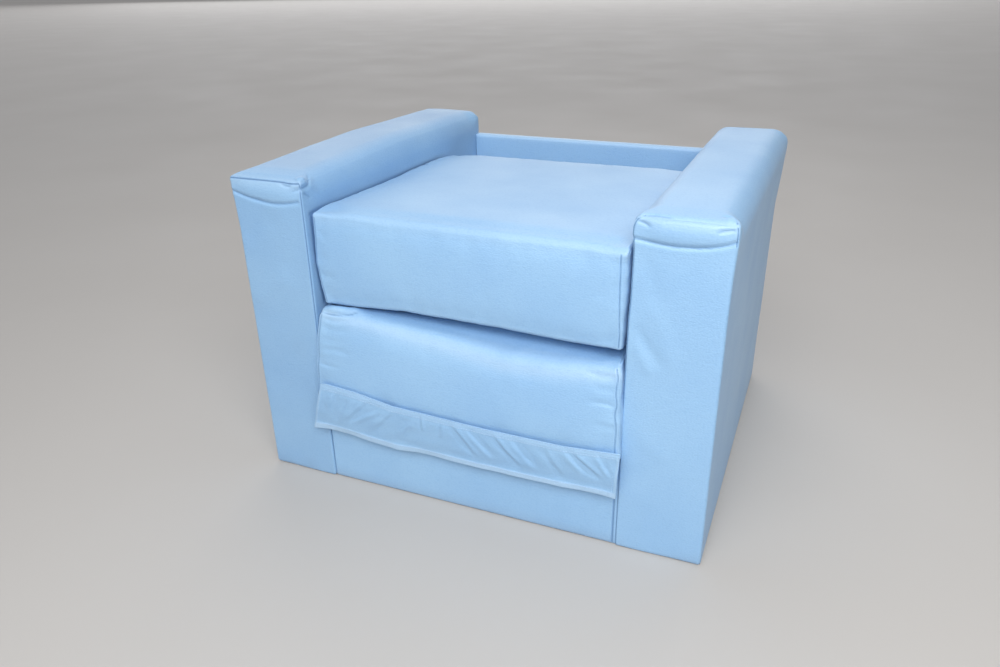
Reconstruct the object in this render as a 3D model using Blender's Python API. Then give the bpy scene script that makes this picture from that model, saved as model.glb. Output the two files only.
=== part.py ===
# Children's armchair that folds out into a bed: two boxed arms, a low back, a padded base and two cushions.
# Metres, +Z up, +X to the sitter's left, the front towards -Y. The origin is under the middle of the whole.

import math

import bmesh
import bpy
from mathutils import Vector

# Driving sizes
overall_width = 0.600
overall_depth = 0.515
arm_height = 0.413
arm_width = 0.100
back_drop = 0.038
base_height = 0.1265

# Sheets, boards and running gaps
gap = 0.0003
cover_thickness = 0.0020
board_thickness = 0.0120
cut_overrun = 0.0100

# Arms
arm_pad_thickness = 0.0280
arm_crown = 0.0040
arm_shoulder = 0.0180
arm_end_edge = 0.0060

# Base
base_setback = 0.0015
base_edge = 0.0080
deck_pad_thickness = 0.0400
cleat_size = 0.0200

# Back
back_edge = 0.0050

# Underside
glide_height = 0.0021
glide_radius = 0.0080
glide_inset_x = 0.0300
glide_inset_y = 0.0450
glide_nail_radius = 0.0012
glide_nail_length = 0.0100
dust_cover_thickness = 0.0008
dust_cover_margin = 0.0150

# Cushions
cushion_side_gap = 0.0100
cushion_rear_gap = 0.0981
cushion_floor_gap = 0.0020
cushion_edge = 0.0120
cushion_draw = 0.0025
upper_setback = 0.0040
upper_crown = 0.0060
upper_bulge = 0.0020
lower_proud = 0.0160
lower_lean = 0.0100
lower_bulge = 0.0020

# Zips
zip_end_margin = 0.0300
zip_width = 0.0160
zip_bead_width = 0.0026
zip_bead_height = 0.0012
slider_length = 0.0120
slider_width = 0.0080
slider_cap = 0.0022
slider_margin = 0.0060

# Front hinge flap, whose foot runs past the cushion by less on the right, and its hook-and-loop tapes
flap_head_overhang = 0.0070
flap_foot_overhang_l = 0.0290
flap_foot_overhang_r = 0.0040
flap_thickness = 0.0020
flap_drop = 0.0415
flap_sewn_height = 0.0165
flap_wave = 0.0020
tape_thickness = 0.0015
tape_height = 0.0250
tape_end_margin = 0.0150
tape_lift = 0.0030

# Rear hinge strip between the cushions
strip_thickness = 0.0015
strip_height = 0.0400
strip_end_margin = 0.0100
strip_clearance = 0.0055

# Fasteners
screw_radius = 0.0020
screw_head_radius = 0.0040
screw_head_height = 0.0024
screw_bite = 0.0095
dowel_radius = 0.0030
dowel_length = 0.0300

# Shares and counts
cleat_screw_shares = (0.12, 0.50, 0.88)
back_screw_shares = (-0.60, 0.00, 0.60)
back_screw_height_share = 0.45
dowel_height_shares = (0.30, 0.80)
tan_eighth_share = math.tan(math.pi / 8)
flap_wave_count = 3
flap_stations = 18
flap_slope_steps = 4
round_sides = 16
screw_sides = 10
arc_steps = 4
crown_steps = 6
cover_steps = (6, 6, 2)
foam_steps = (6, 6, 1)

# Places worked out from the sizes
skin = cover_thickness + gap
flap_proud = lower_proud + gap + flap_thickness
front_y = (flap_proud - overall_depth) / 2
rear_y = front_y + overall_depth
outer_x = overall_width / 2
inner_x = outer_x - arm_width
well_x = inner_x - gap
dust_cover_z = glide_height + gap
carcass_z = dust_cover_z + dust_cover_thickness + gap
back_height = arm_height - back_drop
back_thickness = board_thickness + 2 * skin
base_front_y = front_y + base_setback
base_rear_y = rear_y - back_thickness - gap
pad_top_z = arm_height - skin
pad_bottom_z = pad_top_z - arm_pad_thickness
top_board_z = pad_bottom_z - gap
deck_pad_top_z = base_height - skin
deck_top_z = deck_pad_top_z - deck_pad_thickness - gap
deck_bottom_z = deck_top_z - board_thickness
rail_top_z = deck_bottom_z - gap
cushion_thickness = base_height - cushion_floor_gap
cushion_half_width = inner_x - cushion_side_gap
zip_half_length = cushion_half_width - zip_end_margin
lower_z = base_height + gap
lower_top_z = lower_z + cushion_thickness
upper_z = lower_top_z + gap
upper_top_z = upper_z + cushion_thickness
cushion_rear_y = base_rear_y - cushion_rear_gap
lower_front_y = front_y - lower_proud
upper_front_y = front_y + upper_setback
flap_foot_z = base_height - flap_drop
cleat_screw_length = cleat_size + 2 * gap + cover_thickness + screw_bite
back_screw_length = board_thickness + 2 * skin + gap + screw_bite
lower_axis = Vector((0, lower_front_y - gap - flap_thickness / 2, lower_z))
upper_axis = Vector((0, cushion_rear_y + strip_clearance, (lower_top_z + upper_z) / 2))


def clear_scene():
    for old in list(bpy.data.objects):
        bpy.data.objects.remove(old, do_unlink=True)


def finish_material(name, color, roughness, metallic=0.0):
    made = bpy.data.materials.new(name)
    made.use_nodes = True
    shader = made.node_tree.nodes["Principled BSDF"]
    shader.inputs["Base Color"].default_value = (*color, 1.0)
    shader.inputs["Roughness"].default_value = roughness
    shader.inputs["Metallic"].default_value = metallic
    made.diffuse_color = (*color, 1.0)
    return made


def make_materials():
    return {
        "leather": finish_material("pvc_faux_leather", (0.36, 0.57, 0.85), 0.42),
        "foam": finish_material("polyurethane_foam", (0.86, 0.80, 0.62), 0.95),
        "board": finish_material("birch_plywood", (0.66, 0.50, 0.32), 0.65),
        "tape": finish_material("hook_and_loop_tape", (0.62, 0.74, 0.88), 0.85),
        "webbing": finish_material("hinge_webbing", (0.30, 0.48, 0.74), 0.80),
        "zip": finish_material("nylon_zip", (0.42, 0.60, 0.84), 0.55),
        "steel": finish_material("zinc_plated_steel", (0.74, 0.74, 0.72), 0.35, 1.0),
        "dowel": finish_material("beech_dowel", (0.72, 0.52, 0.34), 0.60),
        "plastic": finish_material("grey_polyethylene", (0.30, 0.31, 0.33), 0.50),
        "felt": finish_material("black_nonwoven", (0.03, 0.03, 0.035), 0.95),
    }


def add_axis(name, place, parent=None):
    axis = bpy.data.objects.new(name, None)
    axis.empty_display_size = board_thickness
    bpy.context.scene.collection.objects.link(axis)
    put(axis, place, parent)
    return axis


def put(thing, place, parent=None):
    """Stands an object at a world place, under its parent."""
    if parent is None:
        thing.location = place
        return
    bpy.context.view_layer.update()
    thing.parent = parent
    thing.location = parent.matrix_world.inverted() @ Vector(place)


def solid(name, points, faces, material, place, parent=None, smooth=False):
    """A mesh object whose points are given in world space and whose origin is its place."""
    place = Vector(place)
    mesh = bpy.data.meshes.new(name)
    mesh.from_pydata([Vector(point) - place for point in points], [], faces)
    shell = bmesh.new()
    shell.from_mesh(mesh)
    bmesh.ops.recalc_face_normals(shell, faces=shell.faces)
    shell.to_mesh(mesh)
    shell.free()
    if smooth:
        mesh.shade_smooth()
        mesh.set_sharp_from_angle(angle=math.radians(40))
    made = bpy.data.objects.new(name, mesh)
    mesh.materials.append(material)
    bpy.context.scene.collection.objects.link(made)
    put(made, place, parent)
    return made


def block(name, low, high, material, parent=None):
    """A plain cuboid between two corners."""
    points = [(x, y, z) for x in (low[0], high[0]) for y in (low[1], high[1]) for z in (low[2], high[2])]
    faces = [(0, 1, 3, 2), (4, 6, 7, 5), (0, 4, 5, 1), (2, 3, 7, 6), (0, 2, 6, 4), (1, 5, 7, 3)]
    middle = (Vector(low) + Vector(high)) / 2
    return solid(name, points, faces, material, middle, parent)


def loft(name, rings, material, place, parent=None):
    """A closed skin over rings of equal point counts, capped at both ends."""
    count = len(rings[0])
    points = [point for ring in rings for point in ring]
    faces = [tuple(range(count)), tuple(range(len(points) - count, len(points)))]
    for level in range(len(rings) - 1):
        start = level * count
        for i in range(count):
            after = (i + 1) % count
            faces.append((start + i, start + after, start + count + after, start + count + i))
    return solid(name, points, faces, material, place, parent, smooth=True)


def run_along_x(name, outline, low_x, high_x, material, place, parent=None):
    """A (y, z) outline carried along X."""
    rings = [[(x, y, z) for y, z in outline] for x in (low_x, high_x)]
    return loft(name, rings, material, place, parent)


def turned(name, profile, start, direction, sides, material, parent=None):
    """A round piece from (distance, radius) pairs along a direction."""
    direction = Vector(direction).normalized()
    across = direction.orthogonal().normalized()
    beside = direction.cross(across)
    rings = []
    for distance, radius in profile:
        centre = Vector(start) + direction * distance
        turns = [2 * math.pi * i / sides for i in range(sides)]
        rings.append([centre + (across * math.cos(a) + beside * math.sin(a)) * radius for a in turns])
    return loft(name, rings, material, start, parent)


def cut(target, cutter):
    """Takes the cutter's shape out of the target. The cutter stays as a wire guide."""
    cutter.hide_render = True
    cutter.display_type = "WIRE"
    taken = target.modifiers.new(cutter.name, "BOOLEAN")
    taken.operation = "DIFFERENCE"
    taken.solver = "EXACT"
    taken.object = cutter


def arm_outline(inset, low_z):
    """The arm's section: straight sides, round shoulders and a crowned top that they run into."""
    half = arm_width / 2 - inset
    shoulder = arm_shoulder - inset
    lean = math.atan(2 * arm_crown / (half - shoulder))
    crown_half = half - shoulder + shoulder * math.sin(lean)
    crown_z = arm_height - inset - arm_crown
    centre_z = crown_z - shoulder * math.cos(lean)
    left = [(-half, low_z)]
    for step in range(arc_steps + 1):
        turn = (math.pi / 2 - lean) * step / arc_steps
        left.append((-half + shoulder * (1 - math.cos(turn)), centre_z + shoulder * math.sin(turn)))
    crown = []
    for step in range(1, crown_steps):
        across = 2 * step / crown_steps - 1
        crown.append((crown_half * across, crown_z + arm_crown * (1 - across * across)))
    right = [(-x, z) for x, z in reversed(left)]
    return left + crown + right


def arm_rings(middle_x, inset, low_z, edge):
    """Sections from the front to the rear, drawn in a little at both ends where the edge is round."""
    steps = arc_steps // 2 if edge else 0
    rings = []
    for end, inward in ((front_y + inset, 1), (rear_y - inset, -1)):
        part = []
        for step in range(steps + 1):
            turn = math.pi / 2 * step / max(steps, 1)
            y = end + inward * edge * (1 - math.sin(turn))
            drawn = inset + edge * (1 - math.cos(turn)) / 2
            part.append([(middle_x + x, y, z) for x, z in arm_outline(drawn, low_z)])
        rings += part[::-1] if inward > 0 else part
    return rings


def make_arm(side, letter, finish, parent):
    """One arm: a box of six boards, a foam pad on top and the cover drawn over all."""
    middle_x = side * (outer_x - arm_width / 2)
    near, far = sorted((side * (inner_x + skin), side * (outer_x - skin)))
    front, rear = front_y + skin, rear_y - skin
    between_front = front + board_thickness + gap
    between_rear = rear - board_thickness - gap
    wall_low = carcass_z + board_thickness + gap
    wall_high = top_board_z - board_thickness - gap
    inner_a, inner_b = sorted((side * (inner_x + skin), side * (inner_x + skin + board_thickness)))
    outer_a, outer_b = sorted((side * (outer_x - skin), side * (outer_x - skin - board_thickness)))
    board = finish["board"]

    def arm_board(name, low, high):
        return block(f"arm_{name}_board_{letter}", low, high, board, parent)

    bottom = arm_board("bottom", (near, front, carcass_z), (far, rear, carcass_z + board_thickness))
    arm_board("top", (near, front, top_board_z - board_thickness), (far, rear, top_board_z))
    arm_board("front", (near, front, wall_low), (far, front + board_thickness, wall_high))
    rear_board = arm_board("rear", (near, rear - board_thickness, wall_low), (far, rear, wall_high))
    inner = arm_board("inner", (inner_a, between_front, wall_low), (inner_b, between_rear, wall_high))
    arm_board("outer", (outer_a, between_front, wall_low), (outer_b, between_rear, wall_high))
    pad_place = (middle_x, (front + rear) / 2, pad_bottom_z)
    pad_rings = arm_rings(middle_x, skin, pad_bottom_z, 0)
    loft(f"arm_pad_{letter}", pad_rings, finish["foam"], pad_place, parent)
    place = (middle_x, (front_y + rear_y) / 2, carcass_z)
    cover_rings = arm_rings(middle_x, 0, carcass_z, arm_end_edge)
    cover = loft(f"arm_cover_{letter}", cover_rings, finish["leather"], place, parent)
    cavity_rings = arm_rings(middle_x, cover_thickness, carcass_z - cut_overrun, 0)
    cut(cover, loft(f"arm_cavity_{letter}", cavity_rings, finish["leather"], place, parent))
    return {"bottom": bottom, "rear": rear_board, "inner": inner, "cover": cover}


def wrap_outline(low_y, high_y, low_z, high_z, edge, inset):
    """An upside-down U in (y, z) with rounded upper corners, from the front foot to the rear foot."""
    low_y, high_y, high_z = low_y + inset, high_y - inset, high_z - inset
    edge = edge - inset
    front, rear = [(low_y, low_z)], []
    for step in range(arc_steps + 1):
        turn = math.pi / 2 * step / arc_steps
        rise, run = edge * math.sin(turn), edge * math.cos(turn)
        front.append((low_y + edge - run, high_z - edge + rise))
        rear.append((high_y - edge + run, high_z - edge + rise))
    return front + rear[::-1] + [(high_y, low_z)]


def make_wrap(name, low_y, high_y, high_z, edge, material, parent):
    """A cover that runs up the front, over the top and down the rear of what it wraps."""
    outside = wrap_outline(low_y, high_y, carcass_z, high_z, edge, 0)
    inside = wrap_outline(low_y, high_y, carcass_z, high_z, edge, cover_thickness)
    place = (0, (low_y + high_y) / 2, carcass_z)
    return run_along_x(name, outside + inside[::-1], -well_x, well_x, material, place, parent)


def make_base(finish, parent):
    """The padded box between the arms, on which the folded cushions lie."""
    front, rear = base_front_y + skin, base_rear_y - skin
    inside_front = front + board_thickness + gap
    inside_rear = rear - board_thickness - gap
    board, foam, leather = finish["board"], finish["foam"], finish["leather"]
    low, high = (-well_x, front, carcass_z), (well_x, front + board_thickness, rail_top_z)
    block("base_front_board", low, high, board, parent)
    low, high = (-well_x, rear - board_thickness, carcass_z), (well_x, rear, rail_top_z)
    rear_board = block("base_rear_board", low, high, board, parent)
    low, high = (-well_x, front, deck_bottom_z), (well_x, rear, deck_top_z)
    block("deck_board", low, high, board, parent)
    pad_low_z = deck_top_z + gap
    outline = wrap_outline(front, rear, pad_low_z, deck_pad_top_z, base_edge - skin, 0)
    pad_place = (0, (front + rear) / 2, pad_low_z)
    run_along_x("deck_pad", outline, -well_x, well_x, foam, pad_place, parent)
    cover = make_wrap("base_cover", base_front_y, base_rear_y, base_height, base_edge, leather, parent)
    cleats = {}
    for side, letter in ((-1, "l"), (1, "r")):
        near, far = sorted((side * (well_x - cleat_size), side * well_x))
        low = (near, inside_front, rail_top_z - cleat_size)
        cleats[letter] = block(f"deck_cleat_{letter}", low, (far, inside_rear, rail_top_z), board, parent)
    return {"rear": rear_board, "cover": cover, "cleats": cleats, "run": (inside_front, inside_rear)}


def make_back(finish, parent):
    """The low back: one board between the arms, its upper edges eased, wrapped in its cover."""
    front, rear, high_z = rear_y - skin - board_thickness, rear_y - skin, back_height - skin
    outline = wrap_outline(front, rear, carcass_z, high_z, back_edge - skin, 0)
    place = (0, (front + rear) / 2, carcass_z)
    board = run_along_x("back_board", outline, -well_x, well_x, finish["board"], place, parent)
    low_y = rear_y - back_thickness
    cover = make_wrap("back_cover", low_y, rear_y, back_height, back_edge, finish["leather"], parent)
    return {"board": board, "cover": cover}


def drill(targets, name, start, direction, length, radius, parent):
    """One round hole through several pieces, wider than its fastener by the running gap."""
    profile = [(0, radius + gap), (length, radius + gap)]
    cutter = turned(name, profile, start, direction, screw_sides, None, parent)
    for target in targets:
        cut(target, cutter)


def make_screw(name, start, direction, length, finish, parent):
    """A pan-head wood screw whose head bears on its start."""
    tip = screw_radius
    profile = [
        (-screw_head_height - gap, screw_head_radius / 2),
        (-screw_head_height / 2 - gap, screw_head_radius),
        (-gap, screw_head_radius),
        (-gap, screw_radius),
        (length - tip, screw_radius),
        (length, screw_radius / 4),
    ]
    turned(name, profile, start, direction, screw_sides, finish["steel"], parent)


def fasten(arms, base, back, finish, parent):
    """Screws through the cleats into the arms, screws and dowels that hold the back board."""
    run_low, run_high = base["run"]
    for side, letter in ((-1, "l"), (1, "r")):
        arm = arms[letter]
        for number, share in enumerate(cleat_screw_shares, 1):
            y = run_low + share * (run_high - run_low)
            start = (side * (well_x - cleat_size), y, rail_top_z - cleat_size / 2)
            direction = (side, 0, 0)
            targets = (base["cleats"][letter], arm["cover"], arm["inner"])
            hole_length = cut_overrun + cleat_screw_length + gap
            back_off = (start[0] - side * cut_overrun, y, start[2])
            name = f"cleat_screw_{letter}{number}"
            drill(targets, name + "_hole", back_off, direction, hole_length, screw_radius, parent)
            make_screw(name, start, direction, cleat_screw_length, finish, parent)
        for number, share in enumerate(dowel_height_shares, 1):
            y = rear_y - skin - board_thickness / 2
            z = carcass_z + share * (back_height - carcass_z)
            start = (inner_x * side - side * dowel_length / 2, y, z)
            hole_start = (start[0] - side * gap, y, z)
            targets = (arm["rear"], arm["cover"], back["board"])
            name = f"back_dowel_{letter}{number}"
            hole_length = dowel_length + 2 * gap
            drill(targets, name + "_hole", hole_start, (side, 0, 0), hole_length, dowel_radius, parent)
            ease = dowel_radius / 4
            profile = [
                (0, dowel_radius - ease),
                (ease, dowel_radius),
                (dowel_length - ease, dowel_radius),
                (dowel_length, dowel_radius - ease),
            ]
            turned(name, profile, start, (side, 0, 0), screw_sides, finish["dowel"], parent)
    for number, share in enumerate(back_screw_shares, 1):
        start = (share * well_x, base_rear_y - skin - board_thickness, rail_top_z * back_screw_height_share)
        back_off = (start[0], start[1] - cut_overrun, start[2])
        targets = (base["rear"], base["cover"], back["cover"], back["board"])
        name = f"back_screw_{number}"
        length = back_screw_length + gap + cut_overrun
        drill(targets, name + "_hole", back_off, (0, 1, 0), length, screw_radius, parent)
        make_screw(name, start, (0, 1, 0), back_screw_length, finish, parent)


def make_underside(arms, finish, parent):
    """The dust cover under the carcass and four nail-on glides under the arms."""
    margin = dust_cover_margin
    low = (margin - outer_x, front_y + margin, dust_cover_z)
    high = (outer_x - margin, rear_y - margin, dust_cover_z + dust_cover_thickness)
    dust_cover = block("dust_cover", low, high, finish["felt"], parent)
    up = (0, 0, 1)
    for side, letter in ((-1, "l"), (1, "r")):
        for place, y in (("front", front_y + glide_inset_y), ("rear", rear_y - glide_inset_y)):
            name = f"glide_{place}_{letter}"
            x = side * (outer_x - glide_inset_x)
            top = glide_height + glide_nail_length
            profile = [
                (0, glide_radius - glide_height / 2),
                (glide_height / 2, glide_radius),
                (glide_height, glide_radius),
                (glide_height, glide_nail_radius),
                (top, glide_nail_radius),
            ]
            turned(name, profile, (x, y, 0), up, round_sides, finish["plastic"], parent)
            targets = (dust_cover, arms[letter]["bottom"])
            drill(targets, name + "_hole", (x, y, 0), up, top + gap, glide_nail_radius, parent)


def grid_lines(half, edge, steps, edge_steps):
    """Places of the grid lines along one axis, closer together round the edges."""
    flat = half - edge
    inside = [flat * (2 * i / steps - 1) for i in range(steps + 1)]
    turns = [flat + edge * tan_eighth_share] if edge_steps > 1 else []
    outer = turns + [half]
    return [-x for x in reversed(outer)] + inside + outer


def cushion_point(unit, half, edge, form):
    """Rounds one point of a box's surface, then crowns the top, draws in the sides and leans the front."""
    core = Vector([max(edge - h, min(h - edge, p)) for p, h in zip(unit, half)])
    away = unit - core
    x, y, z = core + away.normalized() * edge
    u, v, t = x / half[0], y / half[1], z / half[2]
    front = max(-v, 0)
    z += form["crown"] * max(t, 0) * (1 - u * u) * (1 - v * v)
    x -= cushion_draw * u * (1 - v * v)
    y += front * (cushion_draw * (1 - u * u) + form["lean"] * (t + 1) / 2 - form["bulge"] * (1 - t * t))
    return Vector((x, y, z))


def cushion_form(name, form, inset, edge, steps, edge_steps, material, axis):
    """A cushion's closed skin, set in from its full size by the inset."""
    low, high = Vector(form["low"]), Vector(form["high"])
    centre = (low + high) / 2
    half = (high - low) / 2 - Vector((inset, inset, inset))
    lines = [grid_lines(half[a], edge, steps[a], edge_steps) for a in range(3)]
    last = [len(line) - 1 for line in lines]
    number, points, faces = {}, [], []

    def corner(i, j, k):
        if (i, j, k) not in number:
            number[i, j, k] = len(points)
            unit = Vector((lines[0][i], lines[1][j], lines[2][k]))
            points.append(centre + cushion_point(unit, half, edge, form))
        return number[i, j, k]

    for a, b, c in ((0, 1, 2), (1, 2, 0), (2, 0, 1)):
        for end in (0, last[a]):
            for p in range(last[b]):
                for q in range(last[c]):
                    cell = []
                    for dp, dq in ((0, 0), (1, 0), (1, 1), (0, 1)):
                        index = [0, 0, 0]
                        index[a], index[b], index[c] = end, p + dp, q + dq
                        cell.append(corner(*index))
                    faces.append(cell)
    return solid(name, points, faces, material, axis.matrix_world.translation, axis, smooth=True)


def make_cushion(name, form, finish, axis):
    """A foam core in a zipped cover. The zip runs across the middle of the rear."""
    cushion_form(f"{name}_foam", form, skin, cushion_edge, foam_steps, 1, finish["foam"], axis)
    cover = cushion_form(f"{name}_cover", form, 0, cushion_edge, cover_steps, 2, finish["leather"], axis)
    inside_edge = cushion_edge - cover_thickness
    cavity = cushion_form(f"{name}_cavity", form, cover_thickness, inside_edge, cover_steps, 2, None, axis)
    cut(cover, cavity)
    rear = form["high"][1]
    middle_z = (form["low"][2] + form["high"][2]) / 2
    half_x, half_z = zip_half_length, zip_width / 2
    low = (-half_x, rear - cover_thickness - gap / 2, middle_z - half_z)
    slot = block(f"{name}_zip_slot", low, (half_x, rear + cut_overrun, middle_z + half_z), None, axis)
    cut(cover, slot)
    tape, bead = half_z - gap, zip_bead_width / 2
    inside, outside = rear - cover_thickness, rear + zip_bead_height
    outline = [(inside, -tape), (rear, -tape), (rear, -bead), (outside, -bead)]
    outline += [(y, -z) for y, z in reversed(outline)]
    outline = [(y, middle_z + z) for y, z in outline]
    place = (0, rear, middle_z)
    run_along_x(f"{name}_zip", outline, gap - half_x, half_x - gap, finish["zip"], place, axis)
    start_x = half_x - slider_margin - slider_length
    wide, groove, near = slider_width / 2, bead + gap, rear + gap
    top = outside + gap
    outline = [(near, -wide), (top + slider_cap, -wide), (top + slider_cap, wide), (near, wide)]
    outline += [(near, groove), (top, groove), (top, -groove), (near, -groove)]
    outline = [(y, middle_z + z) for y, z in outline]
    place = (start_x + slider_length / 2, rear, middle_z)
    run_along_x(
        f"{name}_zip_slider", outline, start_x, start_x + slider_length, finish["steel"], place, axis
    )


def flap_line():
    """The flap's inner face from its lower hem to its sewn upper edge, as (y, z) pairs."""
    low_y = base_front_y - 3 * gap - 2 * tape_thickness
    high_y = lower_front_y - gap
    tape_top = flap_foot_z + tape_height + 2 * tape_lift
    reach, rise = high_y - low_y, lower_z - tape_top
    slope = []
    for step in range(flap_slope_steps + 1):
        part = step / flap_slope_steps
        slope.append((low_y + reach * part * part * (3 - 2 * part), tape_top + rise * part))
    return [(low_y, flap_foot_z)] + slope + [(high_y, lower_z + flap_sewn_height)]


def make_flap(finish, parent):
    """The front hinge: a flap sewn to the lower cushion, held on the base by hook-and-loop tape."""
    rings = []
    for station in range(flap_stations + 1):
        along = station / flap_stations
        ripple = flap_wave * (1 - math.cos(2 * math.pi * flap_wave_count * along)) / 2
        inner, outer = [], []
        for y, z in flap_line():
            hang = max(0, (lower_z - z) / flap_drop)
            low_x = -cushion_half_width - flap_head_overhang * (1 - hang) - flap_foot_overhang_l * hang
            high_x = cushion_half_width + flap_head_overhang * (1 - hang) + flap_foot_overhang_r * hang
            x = low_x + (high_x - low_x) * along
            inner.append((x, y - ripple * hang, z))
            outer.append((x, y - ripple * hang - flap_thickness, z))
        rings.append(inner + outer[::-1])
    loft("hinge_flap", rings, finish["leather"], (0, base_front_y, flap_foot_z), parent)
    half = well_x - tape_end_margin
    low_z = flap_foot_z + tape_lift
    back_y = base_front_y - gap
    for name in ("hook_tape", "loop_tape"):
        low = (-half, back_y - tape_thickness, low_z)
        block(name, low, (half, back_y, low_z + tape_height), finish["tape"], parent)
        back_y -= tape_thickness + gap


def make_strip(finish, parent):
    """The rear hinge: webbing sewn across the joint between the two cushions."""
    half, middle = cushion_half_width - strip_end_margin, upper_axis.z
    low = (-half, cushion_rear_y + gap, middle - strip_height / 2)
    high = (half, cushion_rear_y + gap + strip_thickness, middle + strip_height / 2)
    block("rear_hinge_strip", low, high, finish["webbing"], parent)


def main():
    clear_scene()
    finish = make_materials()
    frame = add_axis("frame_origin", (0, 0, 0))
    lower = add_axis("lower_fold_axis", lower_axis)
    upper = add_axis("upper_fold_axis", upper_axis, lower)
    bpy.context.view_layer.update()
    arms = {letter: make_arm(side, letter, finish, frame) for side, letter in ((-1, "l"), (1, "r"))}
    base = make_base(finish, frame)
    back = make_back(finish, frame)
    fasten(arms, base, back, finish, frame)
    make_underside(arms, finish, frame)
    make_flap(finish, frame)
    half = cushion_half_width
    lower_form = {
        "low": (-half, lower_front_y + lower_bulge, lower_z),
        "high": (half, cushion_rear_y, lower_top_z),
        "crown": 0,
        "lean": lower_lean,
        "bulge": lower_bulge,
    }
    make_cushion("lower", lower_form, finish, lower)
    upper_form = {
        "low": (-half, upper_front_y, upper_z),
        "high": (half, cushion_rear_y, upper_top_z),
        "crown": upper_crown,
        "lean": 0,
        "bulge": upper_bulge,
    }
    make_cushion("upper", upper_form, finish, upper)
    make_strip(finish, lower)


main()
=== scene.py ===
import math
from itertools import product

import bpy
import numpy as np
from mathutils import Matrix, Vector
from mathutils.kdtree import KDTree


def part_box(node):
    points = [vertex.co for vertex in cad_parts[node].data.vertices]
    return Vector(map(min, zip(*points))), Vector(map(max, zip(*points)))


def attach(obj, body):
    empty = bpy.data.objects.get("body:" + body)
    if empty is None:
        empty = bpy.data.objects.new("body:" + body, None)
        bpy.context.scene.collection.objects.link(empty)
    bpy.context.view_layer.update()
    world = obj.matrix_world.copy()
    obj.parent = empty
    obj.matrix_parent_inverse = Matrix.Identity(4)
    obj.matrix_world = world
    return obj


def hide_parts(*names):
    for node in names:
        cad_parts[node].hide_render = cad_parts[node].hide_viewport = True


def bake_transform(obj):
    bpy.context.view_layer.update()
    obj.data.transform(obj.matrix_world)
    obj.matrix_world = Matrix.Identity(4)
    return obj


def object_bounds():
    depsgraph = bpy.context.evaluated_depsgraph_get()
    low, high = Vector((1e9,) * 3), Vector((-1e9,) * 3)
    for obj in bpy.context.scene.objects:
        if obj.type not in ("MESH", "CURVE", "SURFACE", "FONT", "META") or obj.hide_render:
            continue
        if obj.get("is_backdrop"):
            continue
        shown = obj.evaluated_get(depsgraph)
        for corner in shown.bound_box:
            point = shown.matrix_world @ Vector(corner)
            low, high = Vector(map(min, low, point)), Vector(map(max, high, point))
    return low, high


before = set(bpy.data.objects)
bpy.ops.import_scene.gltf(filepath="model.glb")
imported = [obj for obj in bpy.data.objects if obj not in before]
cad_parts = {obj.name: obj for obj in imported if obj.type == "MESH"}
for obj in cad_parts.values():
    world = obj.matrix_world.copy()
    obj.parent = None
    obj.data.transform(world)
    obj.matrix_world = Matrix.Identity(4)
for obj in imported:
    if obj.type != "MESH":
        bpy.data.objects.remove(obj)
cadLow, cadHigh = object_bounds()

mm = 0.001


# Colours and nodes

def srgb(text):             # a hex colour as linear red, green, blue and alpha
    parts = [int(text[i:i + 2], 16) / 255 for i in (1, 3, 5)]
    return (*[c / 12.92 if c <= 0.04045 else ((c + 0.055) / 1.055) ** 2.4 for c in parts], 1)


def addNode(tree, kind, inputs=None, **settings):
    node = tree.nodes.new(kind)
    for name, value in settings.items():
        setattr(node, name, value)
    for name, value in (inputs or {}).items():
        if isinstance(value, bpy.types.NodeSocket):
            tree.links.new(value, node.inputs[name])
        else:
            node.inputs[name].default_value = value
    return node


def startMaterial(name):
    made = bpy.data.materials.new(name)
    made.use_nodes = True
    made.node_tree.nodes.clear()
    tree = made.node_tree
    return made, tree, addNode(tree, "ShaderNodeTexCoord").outputs["Object"]


def stretched(tree, place, size):   # a pattern's coordinates, in units of its size along X, Y and Z
    scale = tuple(1 / s for s in size) if isinstance(size, tuple) else (1 / size,) * 3
    return addNode(tree, "ShaderNodeMapping", {"Vector": place, "Scale": scale}).outputs["Vector"]


def noiseOf(tree, place, size, detail=2.0, rough=0.5):
    where = stretched(tree, place, size)
    inputs = {"Vector": where, "Scale": 1.0, "Detail": detail, "Roughness": rough}
    return addNode(tree, "ShaderNodeTexNoise", inputs).outputs["Fac"]


def mixColor(tree, share, first, second, blend="MIX"):
    node = addNode(tree, "ShaderNodeMix", data_type="RGBA", blend_type=blend)
    for index, value in ((0, share), (6, first), (7, second)):
        if isinstance(value, bpy.types.NodeSocket):
            tree.links.new(value, node.inputs[index])
        else:
            node.inputs[index].default_value = value
    return node.outputs[2]


def mapRange(tree, value, low, high, toLow, toHigh):
    inputs = {"Value": value, "From Min": low, "From Max": high, "To Min": toLow, "To Max": toHigh}
    return addNode(tree, "ShaderNodeMapRange", inputs).outputs["Result"]


def bumpOf(tree, height, depth, strength=1.0, below=None):
    inputs = {"Height": height, "Distance": depth, "Strength": strength}
    if below is not None:
        inputs["Normal"] = below
    return addNode(tree, "ShaderNodeBump", inputs).outputs["Normal"]


def endMaterial(tree, color, roughness, normal=None, **fixed):
    inputs = {"Base Color": color, "Roughness": roughness, **{k: v for k, v in fixed.items()}}
    if normal is not None:
        inputs["Normal"] = normal
    shader = addNode(tree, "ShaderNodeBsdfPrincipled", inputs)
    addNode(tree, "ShaderNodeOutputMaterial", {"Surface": shader.outputs["BSDF"]})


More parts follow.
